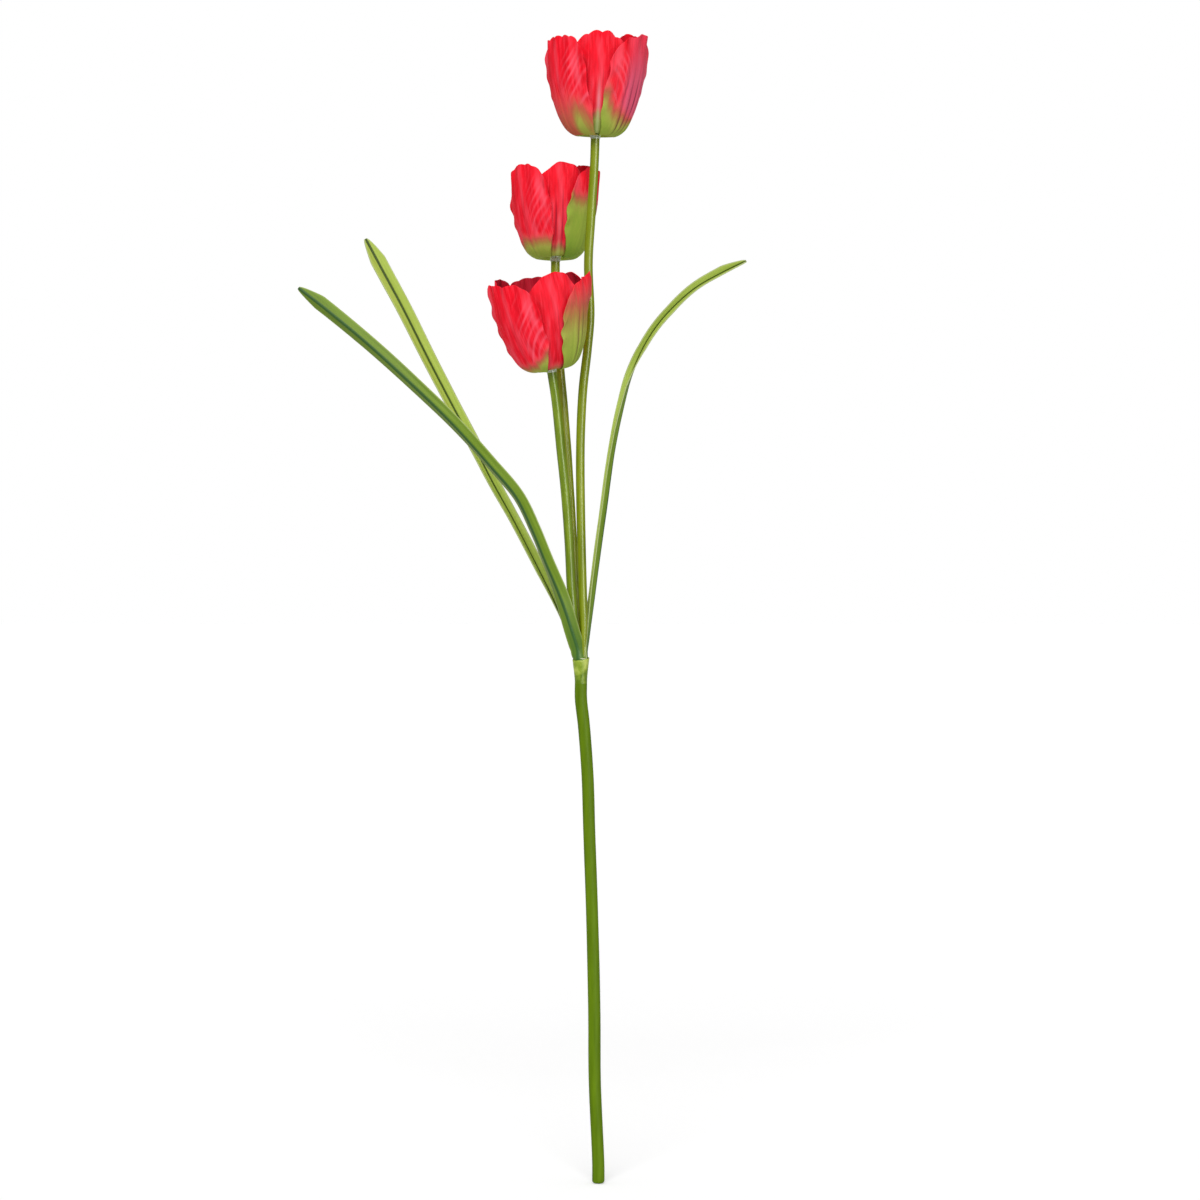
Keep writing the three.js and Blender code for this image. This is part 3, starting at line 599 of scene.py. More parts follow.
PETAL_RINGS = {
    "outer": {
        "seat": 3.4, "height": 61, "width": 48, "tip": (0.27, 3.2),
        "middle": ((0.37, -0.006), (0.575, 0.052), (0.76, 0.24), (0.885, 0.484), (0.957, 0.71), (1, 1)),
    },
    "inner": {
        "seat": 6.6, "height": 64, "width": 44, "tip": (0.22, 2.6),
        "middle": (
            (0.355, 0.006), (0.53, 0.082), (0.705, 0.24), (0.82, 0.45), (0.88, 0.65), (0.895, 0.87), (0.855, 1),
        ),
    },
}
# What a petal is like unless it says otherwise below: how high the green print climbs, how softly it ends and
# how full it is, each from the left edge to the right; how deep the veins are pressed in the left and the right
# half; how deep the lengthwise pleats are; how far the dye has gone to mauve; how strong the painted highlight
# down the foot of the crease is; how far the top is painted plain bright red, as light falling on and through it;
# count, height and start of the crimped bumps; the top edge, in mm above the plain outline from left to right;
# how far the left and the right side curl out and the two top corners flare out; and how broad the foot is.
PLAIN_PETAL = {
    "green": ((-1, 0.24), (0, 0.2), (1, 0.24)), "soft": ((-1, 0.14), (1, 0.14)), "full": ((-1, 1), (1, 1)),
    "veins": (0.6, 0.6), "pleats": 0.1, "faded": 0.05, "crease_highlight": 0, "lit_top": 0, "crimp": (5, 0.8, 0.3),
    "top": ((-1, 0), (1, 0)), "curl": (1, 1), "flare": (0, 0), "foot": 0.18,
}
# Each petal: the way it faces from the front towards the right, its lean outward and its pressed-out belly.
PETALS = {
    "upper": (1, {
        ("outer", "left"): dict(
            PLAIN_PETAL, face=-56, lean=0.5, belly=0.037,
            green=((-1, 0.38), (0.1, 0.44), (0.5, 0.4), (1, 0.3)),
            soft=((-1, 0.28), (0.1, 0.28), (0.5, 0.24), (1, 0.22)),
            full=((-1, 0.36), (0.2, 0.36), (0.55, 0.82), (1, 0.7)), veins=(0.05, 0.9), crimp=(7, 1.5, 0.2),
            top=((-1, 1), (-0.4, 0), (0, 0.3), (0.36, 1.5), (0.6, 4), (0.8, 6), (1, 9)), curl=(1, 2.6), foot=0.1,
        ),
        ("outer", "right"): dict(
            PLAIN_PETAL, face=59, lean=0.5, belly=0, green=((-1, 0.5), (-0.5, 0.31), (0, 0.28), (1, 0.28)),
            soft=((-1, 0.24), (1, 0.05)), veins=(0.8, 0), pleats=1, faded=1, crimp=(5, 0.4, 0.6),
            top=((-1, 5), (-0.6, 3), (-0.3, 1.5), (0.1, 4), (0.35, 3.5), (0.6, 2), (1, 0)),
            curl=(2.6, 1), foot=0.06,
        ),
        ("outer", "back"): dict(PLAIN_PETAL, face=181, lean=0, belly=0.016, faded=0.4),
        ("inner", "front"): dict(
            PLAIN_PETAL, face=4, lean=-1.5, belly=0, green=((-1, 0.28), (1, 0.28)), soft=((-1, 0.12), (1, 0.12)),
            veins=(0.2, 0.3), crease_highlight=1, crimp=(5, 1.8, 0.875),
            top=((-1, 0), (-0.3, 0.3), (0, 1), (0.3, 0.5), (1, -1)),
        ),
        ("inner", "right"): dict(
            PLAIN_PETAL, face=122, lean=-0.5, belly=0, lit_top=1, crimp=(5, 1, 0.1),
            top=((-1, -3), (0, 2), (0.35, 4.5), (0.7, 4.5), (1, 3)),
        ),
        ("inner", "left"): dict(PLAIN_PETAL, face=-118, lean=-0.5, belly=0, top=((-1, 0), (0, -2.5), (1, -6))),
    }),
    "middle": (0.94, {
        ("outer", "left"): dict(
            PLAIN_PETAL, face=-52, lean=-1, belly=0.025, green=((-1, 0.26), (0, 0.28), (1, 0.3)), veins=(0.05, 0.6),
            crimp=(7, 0.7, 0.35), top=((-1, -6), (-0.55, 0), (0, 1.5), (0.5, 2), (0.8, 3.5), (1, 5)),
            curl=(1, 2.4), foot=0.03,
        ),
        ("outer", "right"): dict(
            PLAIN_PETAL, face=66, lean=-2, belly=0.012, green=((-1, 0.7), (-0.4, 0.66), (1, 0.6)),
            soft=((-1, 0.16), (1, 0.22)), veins=(0.3, 0.2), pleats=0.15, curl=(2.4, 1), foot=0.03,
        ),
        ("outer", "back"): dict(PLAIN_PETAL, face=184, lean=-1.5, belly=0.016, crimp=(5, 1, 0.15)),
        ("inner", "front"): dict(
            PLAIN_PETAL, face=7, lean=-2, belly=0, green=((-1, 0.2), (1, 0.2)), soft=((-1, 0.12), (1, 0.12)),
            veins=(0.2, 0.2), pleats=0.7, crease_highlight=0.3, crimp=(4, 0.4, 0.3),
            top=((-1, -9), (-0.5, -5), (0, -0.5), (0.4, 0), (1, 0)),
        ),
        ("inner", "right"): dict(
            PLAIN_PETAL, face=122, lean=-1.5, belly=0, lit_top=1, top=((-1, 0), (0, 2), (0.4, 4.5), (1, 5)),
        ),
        ("inner", "left"): dict(PLAIN_PETAL, face=-116, lean=-2, belly=0, crimp=(5, 0.8, 0.9)),
    }),
    "lower": (0.96, {
        ("outer", "left"): dict(
            PLAIN_PETAL, face=-44, lean=2, belly=0.04, green=((-1, 0.15), (0, 0.2), (0.5, 0.22), (1, 0.34)),
            veins=(0.2, 0.9), crimp=(6, 0.5, 0.05),
            top=((-1, 17), (-0.8, 10), (-0.5, 3), (0, 0), (0.5, 2), (1, 6)), curl=(0, 2.4), foot=0,
        ),
        ("outer", "right"): dict(
            PLAIN_PETAL, face=72, lean=-1, belly=0.019, green=((-1, 0.63), (1, 0.63)), soft=((-1, 0.44), (1, 0.44)),
            veins=(0.3, 0.3), pleats=0.8, faded=0.1, crimp=(5, 0.6, 0.55),
            top=((-1, -6), (-0.5, -6), (0.1, -3), (0.5, 1), (1, 4)), curl=(2.4, 1), flare=(0, 5), foot=0.03,
        ),
        ("outer", "back"): dict(PLAIN_PETAL, face=192, lean=1, belly=0.016),
        ("inner", "front"): dict(
            PLAIN_PETAL, face=17, lean=0, belly=0, green=((-1, 0.1), (1, 0.1)), soft=((-1, 0.16), (1, 0.16)),
            veins=(0.2, 0.2), crimp=(4, 0.6, 0.25), top=((-1, -4), (-0.5, -3), (-0.1, 0.2), (0.4, 2), (1, 2)),
        ),
        ("inner", "right"): dict(
            PLAIN_PETAL, face=130, lean=0, belly=0, crimp=(5, 0.8, 0.45), top=((-1, -3), (0.3, -3), (1, -1)),
        ),
        ("inner", "left"): dict(
            PLAIN_PETAL, face=-108, lean=0.5, belly=0, crimp=(5, 0.3, 0.85), top=((-1, 0), (0.3, 0), (1, -1.5)),
        ),
    }),
}

# Satin-woven polyester: red dye with fibre streaks, painted highlights on the ridges and painted shade in the
# grooves, broad bands of painted satin gleam and painted shade, and a green foot that fades through brown. The
# weave is drawn coarser than the cloth's, so that it shows. The inner face is the red painted a duller crimson, as
# shade inside the cup; towards the top of some petals both faces are painted plain bright red, as light on them.
cloth_faces = []
for finish, dark, red, light, highlight_red in (
    ("printed_satin_face", "#cc0418", "#f30a22", "#ff2a40", "#ff6478"),
    # The inner face: the same red painted darker, as the shade inside the cup.
    ("shaded_satin_inner_face", "#8f0518", "#ab0a20", "#c0162c", "#cc2c40"),
):
    material, tree, shader = start_material(
        finish,
        {"IOR": 1.5, "Specular IOR Level": 0.07, "Sheen Weight": 0.03, "Sheen Roughness": 0.35,
         "Sheen Tint": linear("#ff9aa8")},
    )
    cloth = add(tree, "ShaderNodeUVMap", {}, uv_map="cloth").outputs["UV"]
    marks = {
        mark: add(tree, "ShaderNodeAttribute", {}, attribute_name=mark).outputs["Fac"]
        for mark in ("green", "vein", "streak", "faded", "crease_highlight", "lit_top")
    }
    lengthwise = add(tree, "ShaderNodeMapping", {"Vector": cloth, "Scale": (1, 0.07, 1)}).outputs["Vector"]
    fibres = add(
        tree, "ShaderNodeTexNoise", {"Vector": lengthwise, "Scale": 1 / (FIBRE_WIDTH * MM), "Detail": 4},
    ).outputs["Fac"]
    dye_and_painted_light = add(
        tree, "ShaderNodeValToRGB", {"Fac": fibres},
        stops=((0.25, dark), (0.5, red), (0.78, light)),
    ).outputs["Color"]
    # Broad bands of painted satin gleam and painted shade.
    broad = add(tree, "ShaderNodeMapping", {"Vector": cloth, "Scale": (1, 0.22, 1)}).outputs["Vector"]
    light_and_shade_bands = add(
        tree, "ShaderNodeTexNoise", {"Vector": broad, "Scale": 1 / (LIGHT_AND_SHADE_BAND_WIDTH * MM), "Detail": 2},
    ).outputs["Fac"]
    unevenness = add(tree, "ShaderNodeMath", {0: fibres, 1: 0.5}, operation="SUBTRACT").outputs[0]
    climb = add(
        tree, "ShaderNodeMath", {0: unevenness, 1: 0.25, 2: marks["green"]}, operation="MULTIPLY_ADD",
    ).outputs[0]
    leafy = add(
        tree, "ShaderNodeValToRGB", {"Fac": climb},
        stops=(
            (0.08, "#f0565a"), (0.26, "#c45c48"), (0.42, "#ac8446"), (0.6, "#a4aa4a"), (0.8, "#94aa3e"), (1, "#78a030"),
        ),
    ).outputs["Color"]
    # Painted light: the relief paints ridges lighter as highlight and grooves darker as shade, and the broad bands
    # paint satin gleams and shade.
    painted_groove_shade, painted_ridge_highlight, painted_gleams, painted_shade_bands, leafy_share = (
        add(
            tree, "ShaderNodeMapRange", {"Value": value, "From Min": none, "From Max": whole, "To Max": most},
        ).outputs["Result"]
        for value, none, whole, most in (
            (marks["vein"], 0, -1, 0.8), (marks["vein"], 0, 1, 0.8), (light_and_shade_bands, 0.46, 0.72, 0.55),
            (light_and_shade_bands, 0.46, 0.28, 0.7), (climb, 0.02, 0.24, 1),
        )
    )
    # Painted highlight down the foot of the crease, pale green where it crosses the green print.
    green_crease_highlight = add(tree, "ShaderNodeMath", {0: marks["crease_highlight"], 1: leafy_share}, operation="MULTIPLY").outputs[0]
    for share, colour in (
        (marks["lit_top"], linear("#f30a22")), (painted_groove_shade, linear(dark)), (painted_ridge_highlight, linear(highlight_red)),
        (painted_gleams, linear(highlight_red)), (painted_shade_bands, linear(dark)), (marks["faded"], linear("#d8607e")),
        (marks["crease_highlight"], linear("#f59aa6")), (leafy_share, leafy), (green_crease_highlight, linear("#ccd896")),
        (marks["streak"], linear("#5e0f2c")),
    ):
        dye_and_painted_light = add(
            tree, "ShaderNodeMix", {0: share, 6: dye_and_painted_light, 7: colour}, data_type="RGBA", clamp_factor=True,
        ).outputs[2]
    tree.links.new(dye_and_painted_light, shader.inputs["Base Color"])
    warp, weft = (
        add(
            tree, "ShaderNodeTexWave",
            {"Vector": cloth, "Scale": math.tau / 20 / (WEAVE_PITCH * MM), "Distortion": 0.4},
            bands_direction=way,
        ).outputs["Fac"]
        for way in ("X", "Y")
    )
    weave = add(tree, "ShaderNodeMath", {0: warp, 1: weft}, operation="MULTIPLY").outputs[0]
    skin = add(tree, "ShaderNodeMapRange", {"Value": weave, "To Min": 0.76, "To Max": 0.64}).outputs["Result"]
    tree.links.new(skin, shader.inputs["Roughness"])
    threads = add(
        tree, "ShaderNodeBump", {"Height": weave, "Strength": 0.2, "Distance": 0.12 * MM},
    ).outputs["Normal"]
    tree.links.new(threads, shader.inputs["Normal"])
    cloth_faces.append(material)


def between(stops, value):
    """A value that eases from stop to stop, each a (position, value) pair."""
    for (low, start), (high, stop) in zip(stops, stops[1:]):
        if value <= high:
            return start + (stop - start) * smoothstep(value, low, high)
    return stops[-1][1]


for name, (size, petals) in PETALS.items():
    for (ring_name, side), petal in petals.items():
        ring = PETAL_RINGS[ring_name]
        seat = Vector((PETAL_SEAT, 0, ring["seat"]))
        leaning = Matrix.Rotation(math.radians(petal["lean"]), 4, "Y")
        middle = [seat]
        for r, z in ring["middle"]:
            out = (r + petal["belly"] * math.sin(math.pi * max(z, 0))) * CUP_RADIUS * size
            middle.append(seat + leaning @ (Vector((out, 0, z * ring["height"] * size)) - seat))
        line = smooth_line(middle, PETAL_LINE_STEPS)
        length = sum((q - p).length for p, q in zip(line, line[1:]))
        drop, drop_power = ring["tip"]
        bumps, bump_height, start = petal["crimp"]
        seed = 10 * start + petal["face"]
        mesh = bmesh.new()
        bmesh.ops.create_grid(mesh, x_segments=PETAL_COLUMNS, y_segments=PETAL_ROWS, size=1)
        uv_layer = mesh.loops.layers.uv.new("cloth")
        marks = {
            mark: mesh.verts.layers.float.new(mark)
            for mark in ("green", "vein", "streak", "faded", "crease_highlight", "lit_top")
        }
        flat = {}
        for vert in mesh.verts:
            across = vert.co.x
            along = (vert.co.y + 1) / 2
            edge = abs(across)
            crimp = abs(math.sin(math.pi * (bumps * across / 2 + start))) - 0.6
            reach = along * (1 - drop * edge ** drop_power)
            reach += between(petal["top"], across) / length * smoothstep(along, 0.5, 1)
            reach += bump_height / length * crimp * smoothstep(along, 0.8, 1)
            half = ring["width"] / 2 * size
            half *= math.sin(math.pi / 2 * min(1, max(reach + petal["foot"], 0.01) / WIDEST_AT)) ** 0.9
            waver = EDGE_WAVER * math.sin(math.tau * (EDGE_WAVES * along + start)) * smoothstep(along, 0.3, 0.6)
            half *= 1 + waver * smoothstep(edge, 0.5, 1)
            x = across * half
            s = reach * length
            station = reach * (len(line) - 1)
            i = min(max(int(station), 0), len(line) - 2)
            point = line[i] + (line[i + 1] - line[i]) * (station - i)
            rise = (line[i + 1] - line[i]).normalized()
            wobble = VEIN_WOBBLE * noise.noise(Vector((x / 9, s / 14, seed)))
            vein = (s - VEIN_SLOPE * half * edge ** 0.65) / VEIN_SPACING + wobble
            strength = petal["veins"][across > 0] * smoothstep(edge, 0.12, 0.5)
            strength *= smoothstep(along, 0.15, 0.35) * smoothstep(1 - along, 0.02, 0.25)
            strength *= min(max(0.6 + 1.6 * noise.noise(Vector((round(vein) * 1.7, seed, 0.5))), 0.1), 1)
            ridge = strength * (0.5 + 0.5 * math.cos(math.tau * vein)) ** 3
            fold = math.cos(math.tau * (across / PLEAT_SPACING + 0.4 * wobble))
            pleated = petal["pleats"] * smoothstep(0.8 - edge, 0, 0.4) * smoothstep(along, 0.05, 0.25)
            pleated *= smoothstep(0.85 - along, 0, 0.4)
            in_crease = math.exp(-((x / CREASE_WIDTH) ** 2))
            crease = in_crease * smoothstep(along, 0.04, 0.2) * smoothstep(0.95 - along, 0, 0.5)
            roll = ROLL_DEPTH * noise.noise(Vector((x / 16, s / 20, seed + 9))) * smoothstep(along, 0.1, 0.4)
            side_wave = math.sin(math.tau * (s / SIDE_RUFFLE_LENGTH + 1.7 * start))
            top_wave = math.sin(math.tau * (x / TOP_RUFFLE_LENGTH + start))
            ruffle = SIDE_RUFFLE * side_wave * smoothstep(edge, 0.7, 1)
            ruffle += TOP_RUFFLE * top_wave * smoothstep(along, 0.8, 1)
            bulge = VEIN_DEPTH * ridge + PLEAT_DEPTH * pleated * fold - CREASE_DEPTH * crease + roll
            bulge += ruffle * smoothstep(along, 0.3, 0.6) + petal["curl"][across > 0] * smoothstep(edge, 0.6, 1) * along
            bulge += petal["flare"][across > 0] * smoothstep(edge, 0, 0.6) * smoothstep(along, 0.6, 1)
            turn = x / point.x + math.radians(petal["face"])
            radius = point.x + rise.z * bulge
            height = point.z - rise.x * bulge
            vert.co = (radius * math.sin(turn), -radius * math.cos(turn), height)
            uneven = 0.04 * noise.noise(Vector((x / 4, s / 30, seed + 3)))
            limit = between(petal["green"], across) + uneven
            softness = between(petal["soft"], across)
            full = max(between(petal["full"], across), 1 - smoothstep(reach, 0.06, 0.14))
            leafy = full * (1 - smoothstep(reach, limit - softness, limit + softness))
            vert[marks["green"]] = 0.8 * leafy + 0.2 * smoothstep(limit - softness - reach, 0.1, 0.45)
            # The relief, ridges up and grooves down, which the material paints lighter as highlight and darker as
            # shade.
            vert[marks["vein"]] = min(max(ridge + 0.4 * pleated * fold - 0.6 * crease + 0.2 * roll, -1), 1)
            line_dark = max(0, -fold) ** 3 * smoothstep(0.62 - edge, 0, 0.3) * pleated
            line_dark *= 0.6 + 0.9 * noise.noise(Vector((across * 9, s / 25, seed + 7)))
            vert[marks["streak"]] = min(max(1.1 * line_dark, 0), 1)
            mauve = petal["faded"] * smoothstep(across, -0.6, -0.2)
            vert[marks["faded"]] = mauve * (0.75 - 0.45 * smoothstep(along, 0.6, 0.95))
            # Painted highlight down the foot of the crease.
            crease_highlight = in_crease * smoothstep(along, 0.02, 0.1) * smoothstep(0.7 - along, 0, 0.3)
            vert[marks["crease_highlight"]] = 0.75 * petal["crease_highlight"] * crease_highlight
            # Painted light: both faces plain bright red towards the top of these petals, as light falling on and
            # through them.
            vert[marks["lit_top"]] = petal["lit_top"] * smoothstep(along, 0.6, 0.9)
            flat[vert] = (x * MM, s * MM)
        for face in mesh.faces:
            for loop in face.loops:
                loop[uv_layer].uv = flat[loop.vert]
        bmesh.ops.transform(mesh, matrix=necks[name], verts=mesh.verts)
        area = sum(face.calc_area() for face in mesh.faces) * MM * MM
        piece = make_piece(f"{name}_{ring_name}_{side}_petal", mesh, *cloth_faces)
        cloth_wall = piece.modifiers.new("cloth", "SOLIDIFY")
        cloth_wall.thickness = PETAL_THICKNESS * MM
        cloth_wall.offset = 0
        cloth_wall.material_offset = 1
        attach(piece, f"{name}_head")
        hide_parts(f"{name}_{ring_name}_petal_{side}")

# Leaves: straps of printed polyethylene sheet, die-cut with a blunt tip, folded hot along the middle and set
# with their rolled roots round the branches in the socket. The keel carries a dark stripe, the inside a crease.
LEAF_TIP_WIDTH = 2
LEAF_TIP_LENGTH = 16
LEAF_SET_IN = 3
LEAF_THICKNESS = 0.7
LEAF_COLUMNS = 24
LEAF_ROWS = 180
LEAF_ROOT_CIRCLE = 4.78
LEAF_ROOT_ROLL = 4.3
LEAF_ROOT_TURN = {"front": 26, "back": 0, "right": 0}
LEAF_UNROLL = (-2, 9)
LEAF_FOLD_ROUNDING = 0.4
LEAF_SWAY = 0.25
LEAF_EDGE_HIGHLIGHT_WIDTH = 0.8
LEAF_DARK_ROOT = 45
LEAF_RIB_WIDTH = 1.8
# Each leaf: its length and width, the way its root faces round the mouth, half its width there, the way its
# keel faces and how far its halves fold back, both from root to tip, and its bends.
LEAVES = {
    "front": (308, 12, 245, 4.9, (245, 229, 224, 234, 242), (36, 36), (
        (0, 0, 4), (-3.9, -3.3, 17.2), (-10.5, -7.9, 36.7), (-21.3, -15.1, 62.5), (-29.4, -19.1, 82.3),
        (-39.7, -23.1, 103.3), (-57.4, -26.1, 124.4), (-77.6, -29.1, 147.2), (-102.8, -31.1, 172),
        (-133.1, -31.1, 199.9), (-160, -30.1, 222.4), (-178.9, -29.1, 237.2),
    )),
    "back": (310, 12, 136, 3.5, (140, 110, 106, 106, 108, 114), (56, 54, 38, 24), (
        (0, 0, 4), (-5.6, 4, 15.8), (-16.2, 10, 40.2), (-28.2, 15, 64.6), (-41.7, 19, 90.6), (-55.2, 22, 115.1),
        (-67.2, 24, 138.6), (-81.9, 25, 166.1), (-97.2, 25, 195.6), (-112.9, 24, 227.1), (-127.7, 22, 254.6),
        (-138, 20, 274),
    )),
    "right": (297, 10, 24, 4.8, (24, 14, 12, 12, 14, 22, 36, 78, 85, 50, 39), (40, 58, 58, 52), (
        (0, 0, 4), (3.3, 3, 30.5), (7.6, 7, 63), (12.2, 10, 96), (17.7, 13, 135), (24, 15, 166), (29.5, 16, 186),
        (37.3, 16, 204.1), (49.5, 16, 221.9), (68.7, 15, 240), (88.5, 13, 251.5), (103.7, 11, 258.7),
    )),
}

# Printed polyethylene sheet: satin, with lengthwise ribs that are drawn coarser than the sheet's, so that
# they show; a pale painted highlight along the edges, a dark root, and the stripe or the crease line in dark
# green along the fold.
leaf_faces = []
for finish, greens_at, dark, line_half, line_share in (
    ("leaf_sheet_keel_face", ((0.3, "#5f7a18"), (0.7, "#738f24")), "#2c5229", 1.5, 0.9),
    ("leaf_sheet_inner_face", ((0.3, "#9eb248"), (0.7, "#b2c55e")), "#384c12", 1.6, 1),
):
    material, tree, shader = start_material(finish, {"IOR": 1.51, "Specular IOR Level": 0.15})
    strap = add(tree, "ShaderNodeUVMap", {}, uv_map="strap").outputs["UV"]
    # Painted highlight along the edges of the strap.
    edge_highlight = add(tree, "ShaderNodeAttribute", {}, attribute_name="edge_highlight").outputs["Fac"]
    root = add(tree, "ShaderNodeAttribute", {}, attribute_name="root").outputs["Fac"]
    lengthwise = add(tree, "ShaderNodeMapping", {"Vector": strap, "Scale": (1, 0.03, 1)}).outputs["Vector"]
    ribs = add(
        tree, "ShaderNodeTexNoise", {"Vector": lengthwise, "Scale": 1 / (LEAF_RIB_WIDTH * MM), "Detail": 2},
    ).outputs["Fac"]
    greens = add(tree, "ShaderNodeValToRGB", {"Fac": ribs}, stops=greens_at).outputs["Color"]
    across = add(tree, "ShaderNodeSeparateXYZ", {"Vector": strap}).outputs["X"]
    away = add(tree, "ShaderNodeMath", {0: across}, operation="ABSOLUTE").outputs[0]
    line = add(
        tree, "ShaderNodeMapRange",
        {"Value": away, "From Min": line_half * MM * 0.4, "From Max": line_half * MM,
         "To Min": line_share, "To Max": 0},
        interpolation_type="SMOOTHSTEP",
    ).outputs["Result"]
    for share, code in ((line, dark), (root, "#3a6528"), (edge_highlight, "#b9c584")):
        greens = add(tree, "ShaderNodeMix", {0: share, 6: greens, 7: linear(code)}, data_type="RGBA").outputs[2]
    tree.links.new(greens, shader.inputs["Base Color"])
    skin = add(
        tree, "ShaderNodeMapRange",
        {"Value": ribs, "From Min": 0.3, "From Max": 0.7, "To Min": 0.36, "To Max": 0.5},
    ).outputs["Result"]
    tree.links.new(skin, shader.inputs["Roughness"])
    dents = add(tree, "ShaderNodeBump", {"Height": ribs, "Strength": 0.3, "Distance": 0.15 * MM}).outputs["Normal"]
    tree.links.new(dents, shader.inputs["Normal"])
    leaf_faces.append(material)


def angle_at(angles, share):
    """An angle in radians from evenly spaced ones in degrees."""
    station = share * (len(angles) - 1)
    i = min(int(station), len(angles) - 2)
    return math.radians(angles[i] + (angles[i + 1] - angles[i]) * (station - i))


for name, (length, width, root, root_half, facing, folds, bends) in LEAVES.items():
    turn = math.radians(root)
    foot = mouth + Vector((math.cos(turn), math.sin(turn), 0)) * LEAF_ROOT_CIRCLE + UP * SOCKET_GAP
    line = bent_line(foot, bends, length)
    mesh = bmesh.new()
    bmesh.ops.create_grid(mesh, x_segments=LEAF_COLUMNS, y_segments=LEAF_ROWS, size=1)
    uv_layer = mesh.loops.layers.uv.new("strap")
    edge_highlights = mesh.verts.layers.float.new("edge_highlight")
    roots = mesh.verts.layers.float.new("root")
    flat = {}
    for vert in mesh.verts:
        across = vert.co.x
        along = (vert.co.y + 1) / 2
        distance = along * (length + LEAF_SET_IN) - LEAF_SET_IN
        share = max(distance / length, 0)
        unrolled = smoothstep(distance, *LEAF_UNROLL)
        full = root_half + (width / 2 - root_half) * unrolled
        tip = min(max((length - distance) / LEAF_TIP_LENGTH, 0), 1) ** 0.7
        half = LEAF_TIP_WIDTH / 2 + (full - LEAF_TIP_WIDTH / 2) * tip
        x = across * half
        place = place_at(line, length, distance)
        tangent = place.col[2].to_3d()
        spread = smoothstep(distance, -2, 2) * (1 - smoothstep(distance, 15, 60))
        angle = angle_at(facing, share) + math.radians(LEAF_ROOT_TURN[name]) * spread
        outlook = Vector((math.cos(angle), math.sin(angle), 0))
        sideways = tangent.cross(outlook).normalized()
        outward = sideways.cross(tangent)
        rolled = 1 - unrolled
        fold = angle_at(folds, share)
        bow = x / LEAF_ROOT_ROLL
        wide = rolled * LEAF_ROOT_ROLL * math.sin(bow) + (1 - rolled) * x * math.cos(fold)
        soft_fold = math.sqrt(x * x + LEAF_FOLD_ROUNDING ** 2) - LEAF_FOLD_ROUNDING
        deep = rolled * LEAF_ROOT_ROLL * (1 - math.cos(bow)) + (1 - rolled) * soft_fold * math.sin(fold)
        deep += (LEAF_ROOT_CIRCLE - LEAF_ROOT_ROLL) * (1 - smoothstep(distance, 0, 12))
        sway = LEAF_SWAY * noise.noise(Vector((across, distance / 30, root)))
        vert.co = place.translation + sideways * wide - outward * (deep + sway * (1 - rolled))
        # Painted highlight along the edges of the strap.
        vert[edge_highlights] = 0.75 * smoothstep(abs(x), half - LEAF_EDGE_HIGHLIGHT_WIDTH, half)
        vert[roots] = 0.6 * (1 - smoothstep(distance, 0, LEAF_DARK_ROOT)) * smoothstep(half - abs(x), 0, 2.5)
        flat[vert] = (x * MM, distance * MM)
    for face in mesh.faces:
        for loop in face.loops:
            loop[uv_layer].uv = flat[loop.vert]
    strap_piece = make_piece(f"{name}_leaf_strap", mesh, *leaf_faces)
    wall = strap_piece.modifiers.new("sheet", "SOLIDIFY")
    wall.thickness = LEAF_THICKNESS * MM
    wall.offset = 0
    wall.material_offset = 1
    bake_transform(strap_piece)
    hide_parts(f"{name}_leaf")

# Studio: a white floor and background, light from all round, one broad soft lamp from above the camera, and
# a tall strip of light that draws the long bright line down each stem.
FLOOR_REACH = 60000
FLOOR_DROP = 0.3
LAMP_AIM = Vector((0.05, 0.9, -0.5))
STRIP_PLACE = (0.97, -1.38, 0.5)
STRIP_AIM = Vector((-0.97, 1.38, -0.1))
scene = bpy.context.scene
scene.view_settings.view_transform = "Standard"
world = bpy.data.worlds.new("studio")
scene.world = world
world.use_nodes = True
tree = world.node_tree
rays = add(tree, "ShaderNodeLightPath", {})
seen = add(
    tree, "ShaderNodeMath",
    {0: rays.outputs["Is Camera Ray"], 1: rays.outputs["Is Transmission Ray"]}, operation="MAXIMUM",
).outputs[0]
strength = add(tree, "ShaderNodeMapRange", {"Value": seen, "To Min": 0.5, "To Max": 1}).outputs["Result"]
dimmed = add(
    tree, "ShaderNodeMath", {0: rays.outputs["Is Glossy Ray"], 1: -0.38, 2: strength}, operation="MULTIPLY_ADD",
).outputs[0]
tree.links.new(dimmed, tree.nodes["Background"].inputs["Strength"])
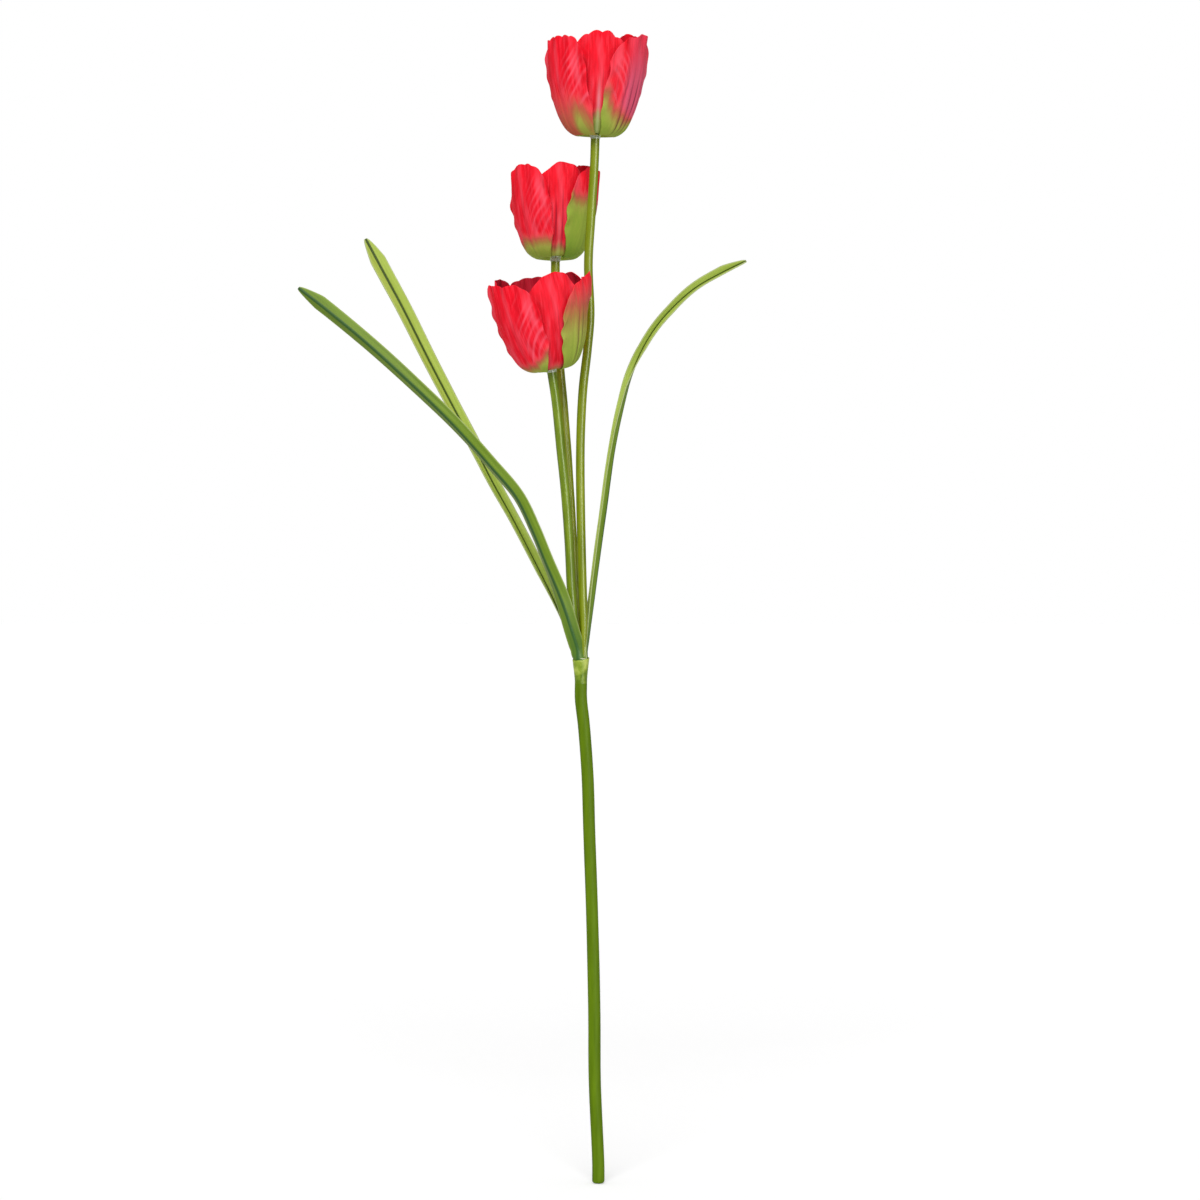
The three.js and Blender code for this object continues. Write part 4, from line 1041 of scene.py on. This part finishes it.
tree.nodes["Background"].inputs["Color"].default_value = (1, 1, 1, 1)

pale_floor = bpy.data.materials.new("pale_studio_floor")
pale_floor.use_nodes = True
tree = pale_floor.node_tree
tree.nodes.remove(tree.nodes["Principled BSDF"])
matt = add(tree, "ShaderNodeBsdfDiffuse", {"Color": (0.85, 0.85, 0.85, 1)}).outputs["BSDF"]
to_camera = add(tree, "ShaderNodeLightPath", {}).outputs["Is Camera Ray"]
lift = add(tree, "ShaderNodeMath", {0: to_camera, 1: 0.3}, operation="MULTIPLY").outputs[0]
glow = add(tree, "ShaderNodeEmission", {"Strength": lift}).outputs["Emission"]
both = add(tree, "ShaderNodeAddShader", {0: matt, 1: glow}).outputs["Shader"]
tree.links.new(both, tree.nodes["Material Output"].inputs["Surface"])
mesh = bmesh.new()
bmesh.ops.create_grid(mesh, x_segments=1, y_segments=1, size=FLOOR_REACH)
bmesh.ops.translate(mesh, vec=(0, 0, -FLOOR_DROP), verts=mesh.verts)
floor = make_piece("floor", mesh, pale_floor)

sun = bpy.data.lights.new("broad_lamp", "SUN")
sun.energy = 2.2
sun.angle = math.radians(30)
lamp = bpy.data.objects.new("broad_lamp", sun)
lamp.rotation_mode = "QUATERNION"
lamp.rotation_quaternion = LAMP_AIM.to_track_quat("-Z", "Y")
scene.collection.objects.link(lamp)
strip = bpy.data.lights.new("strip_lamp", "AREA")
strip.shape = "RECTANGLE"
strip.size = 0.9
strip.size_y = 2
strip.energy = 54
lamp = bpy.data.objects.new("strip_lamp", strip)
lamp.location = STRIP_PLACE
lamp.rotation_mode = "QUATERNION"
lamp.rotation_quaternion = STRIP_AIM.to_track_quat("-Z", "Y")
lamp.visible_diffuse = False
scene.collection.objects.link(lamp)

view = bpy.data.cameras.new("camera")
view.sensor_width = 36
view.lens = 115.38
view.clip_end = 200
camera = bpy.data.objects.new("camera", view)
camera.location = (0.0011, -2.5, 0.379)
camera.rotation_euler = (math.pi / 2, 0, 0)
scene.collection.objects.link(camera)
scene.camera = camera
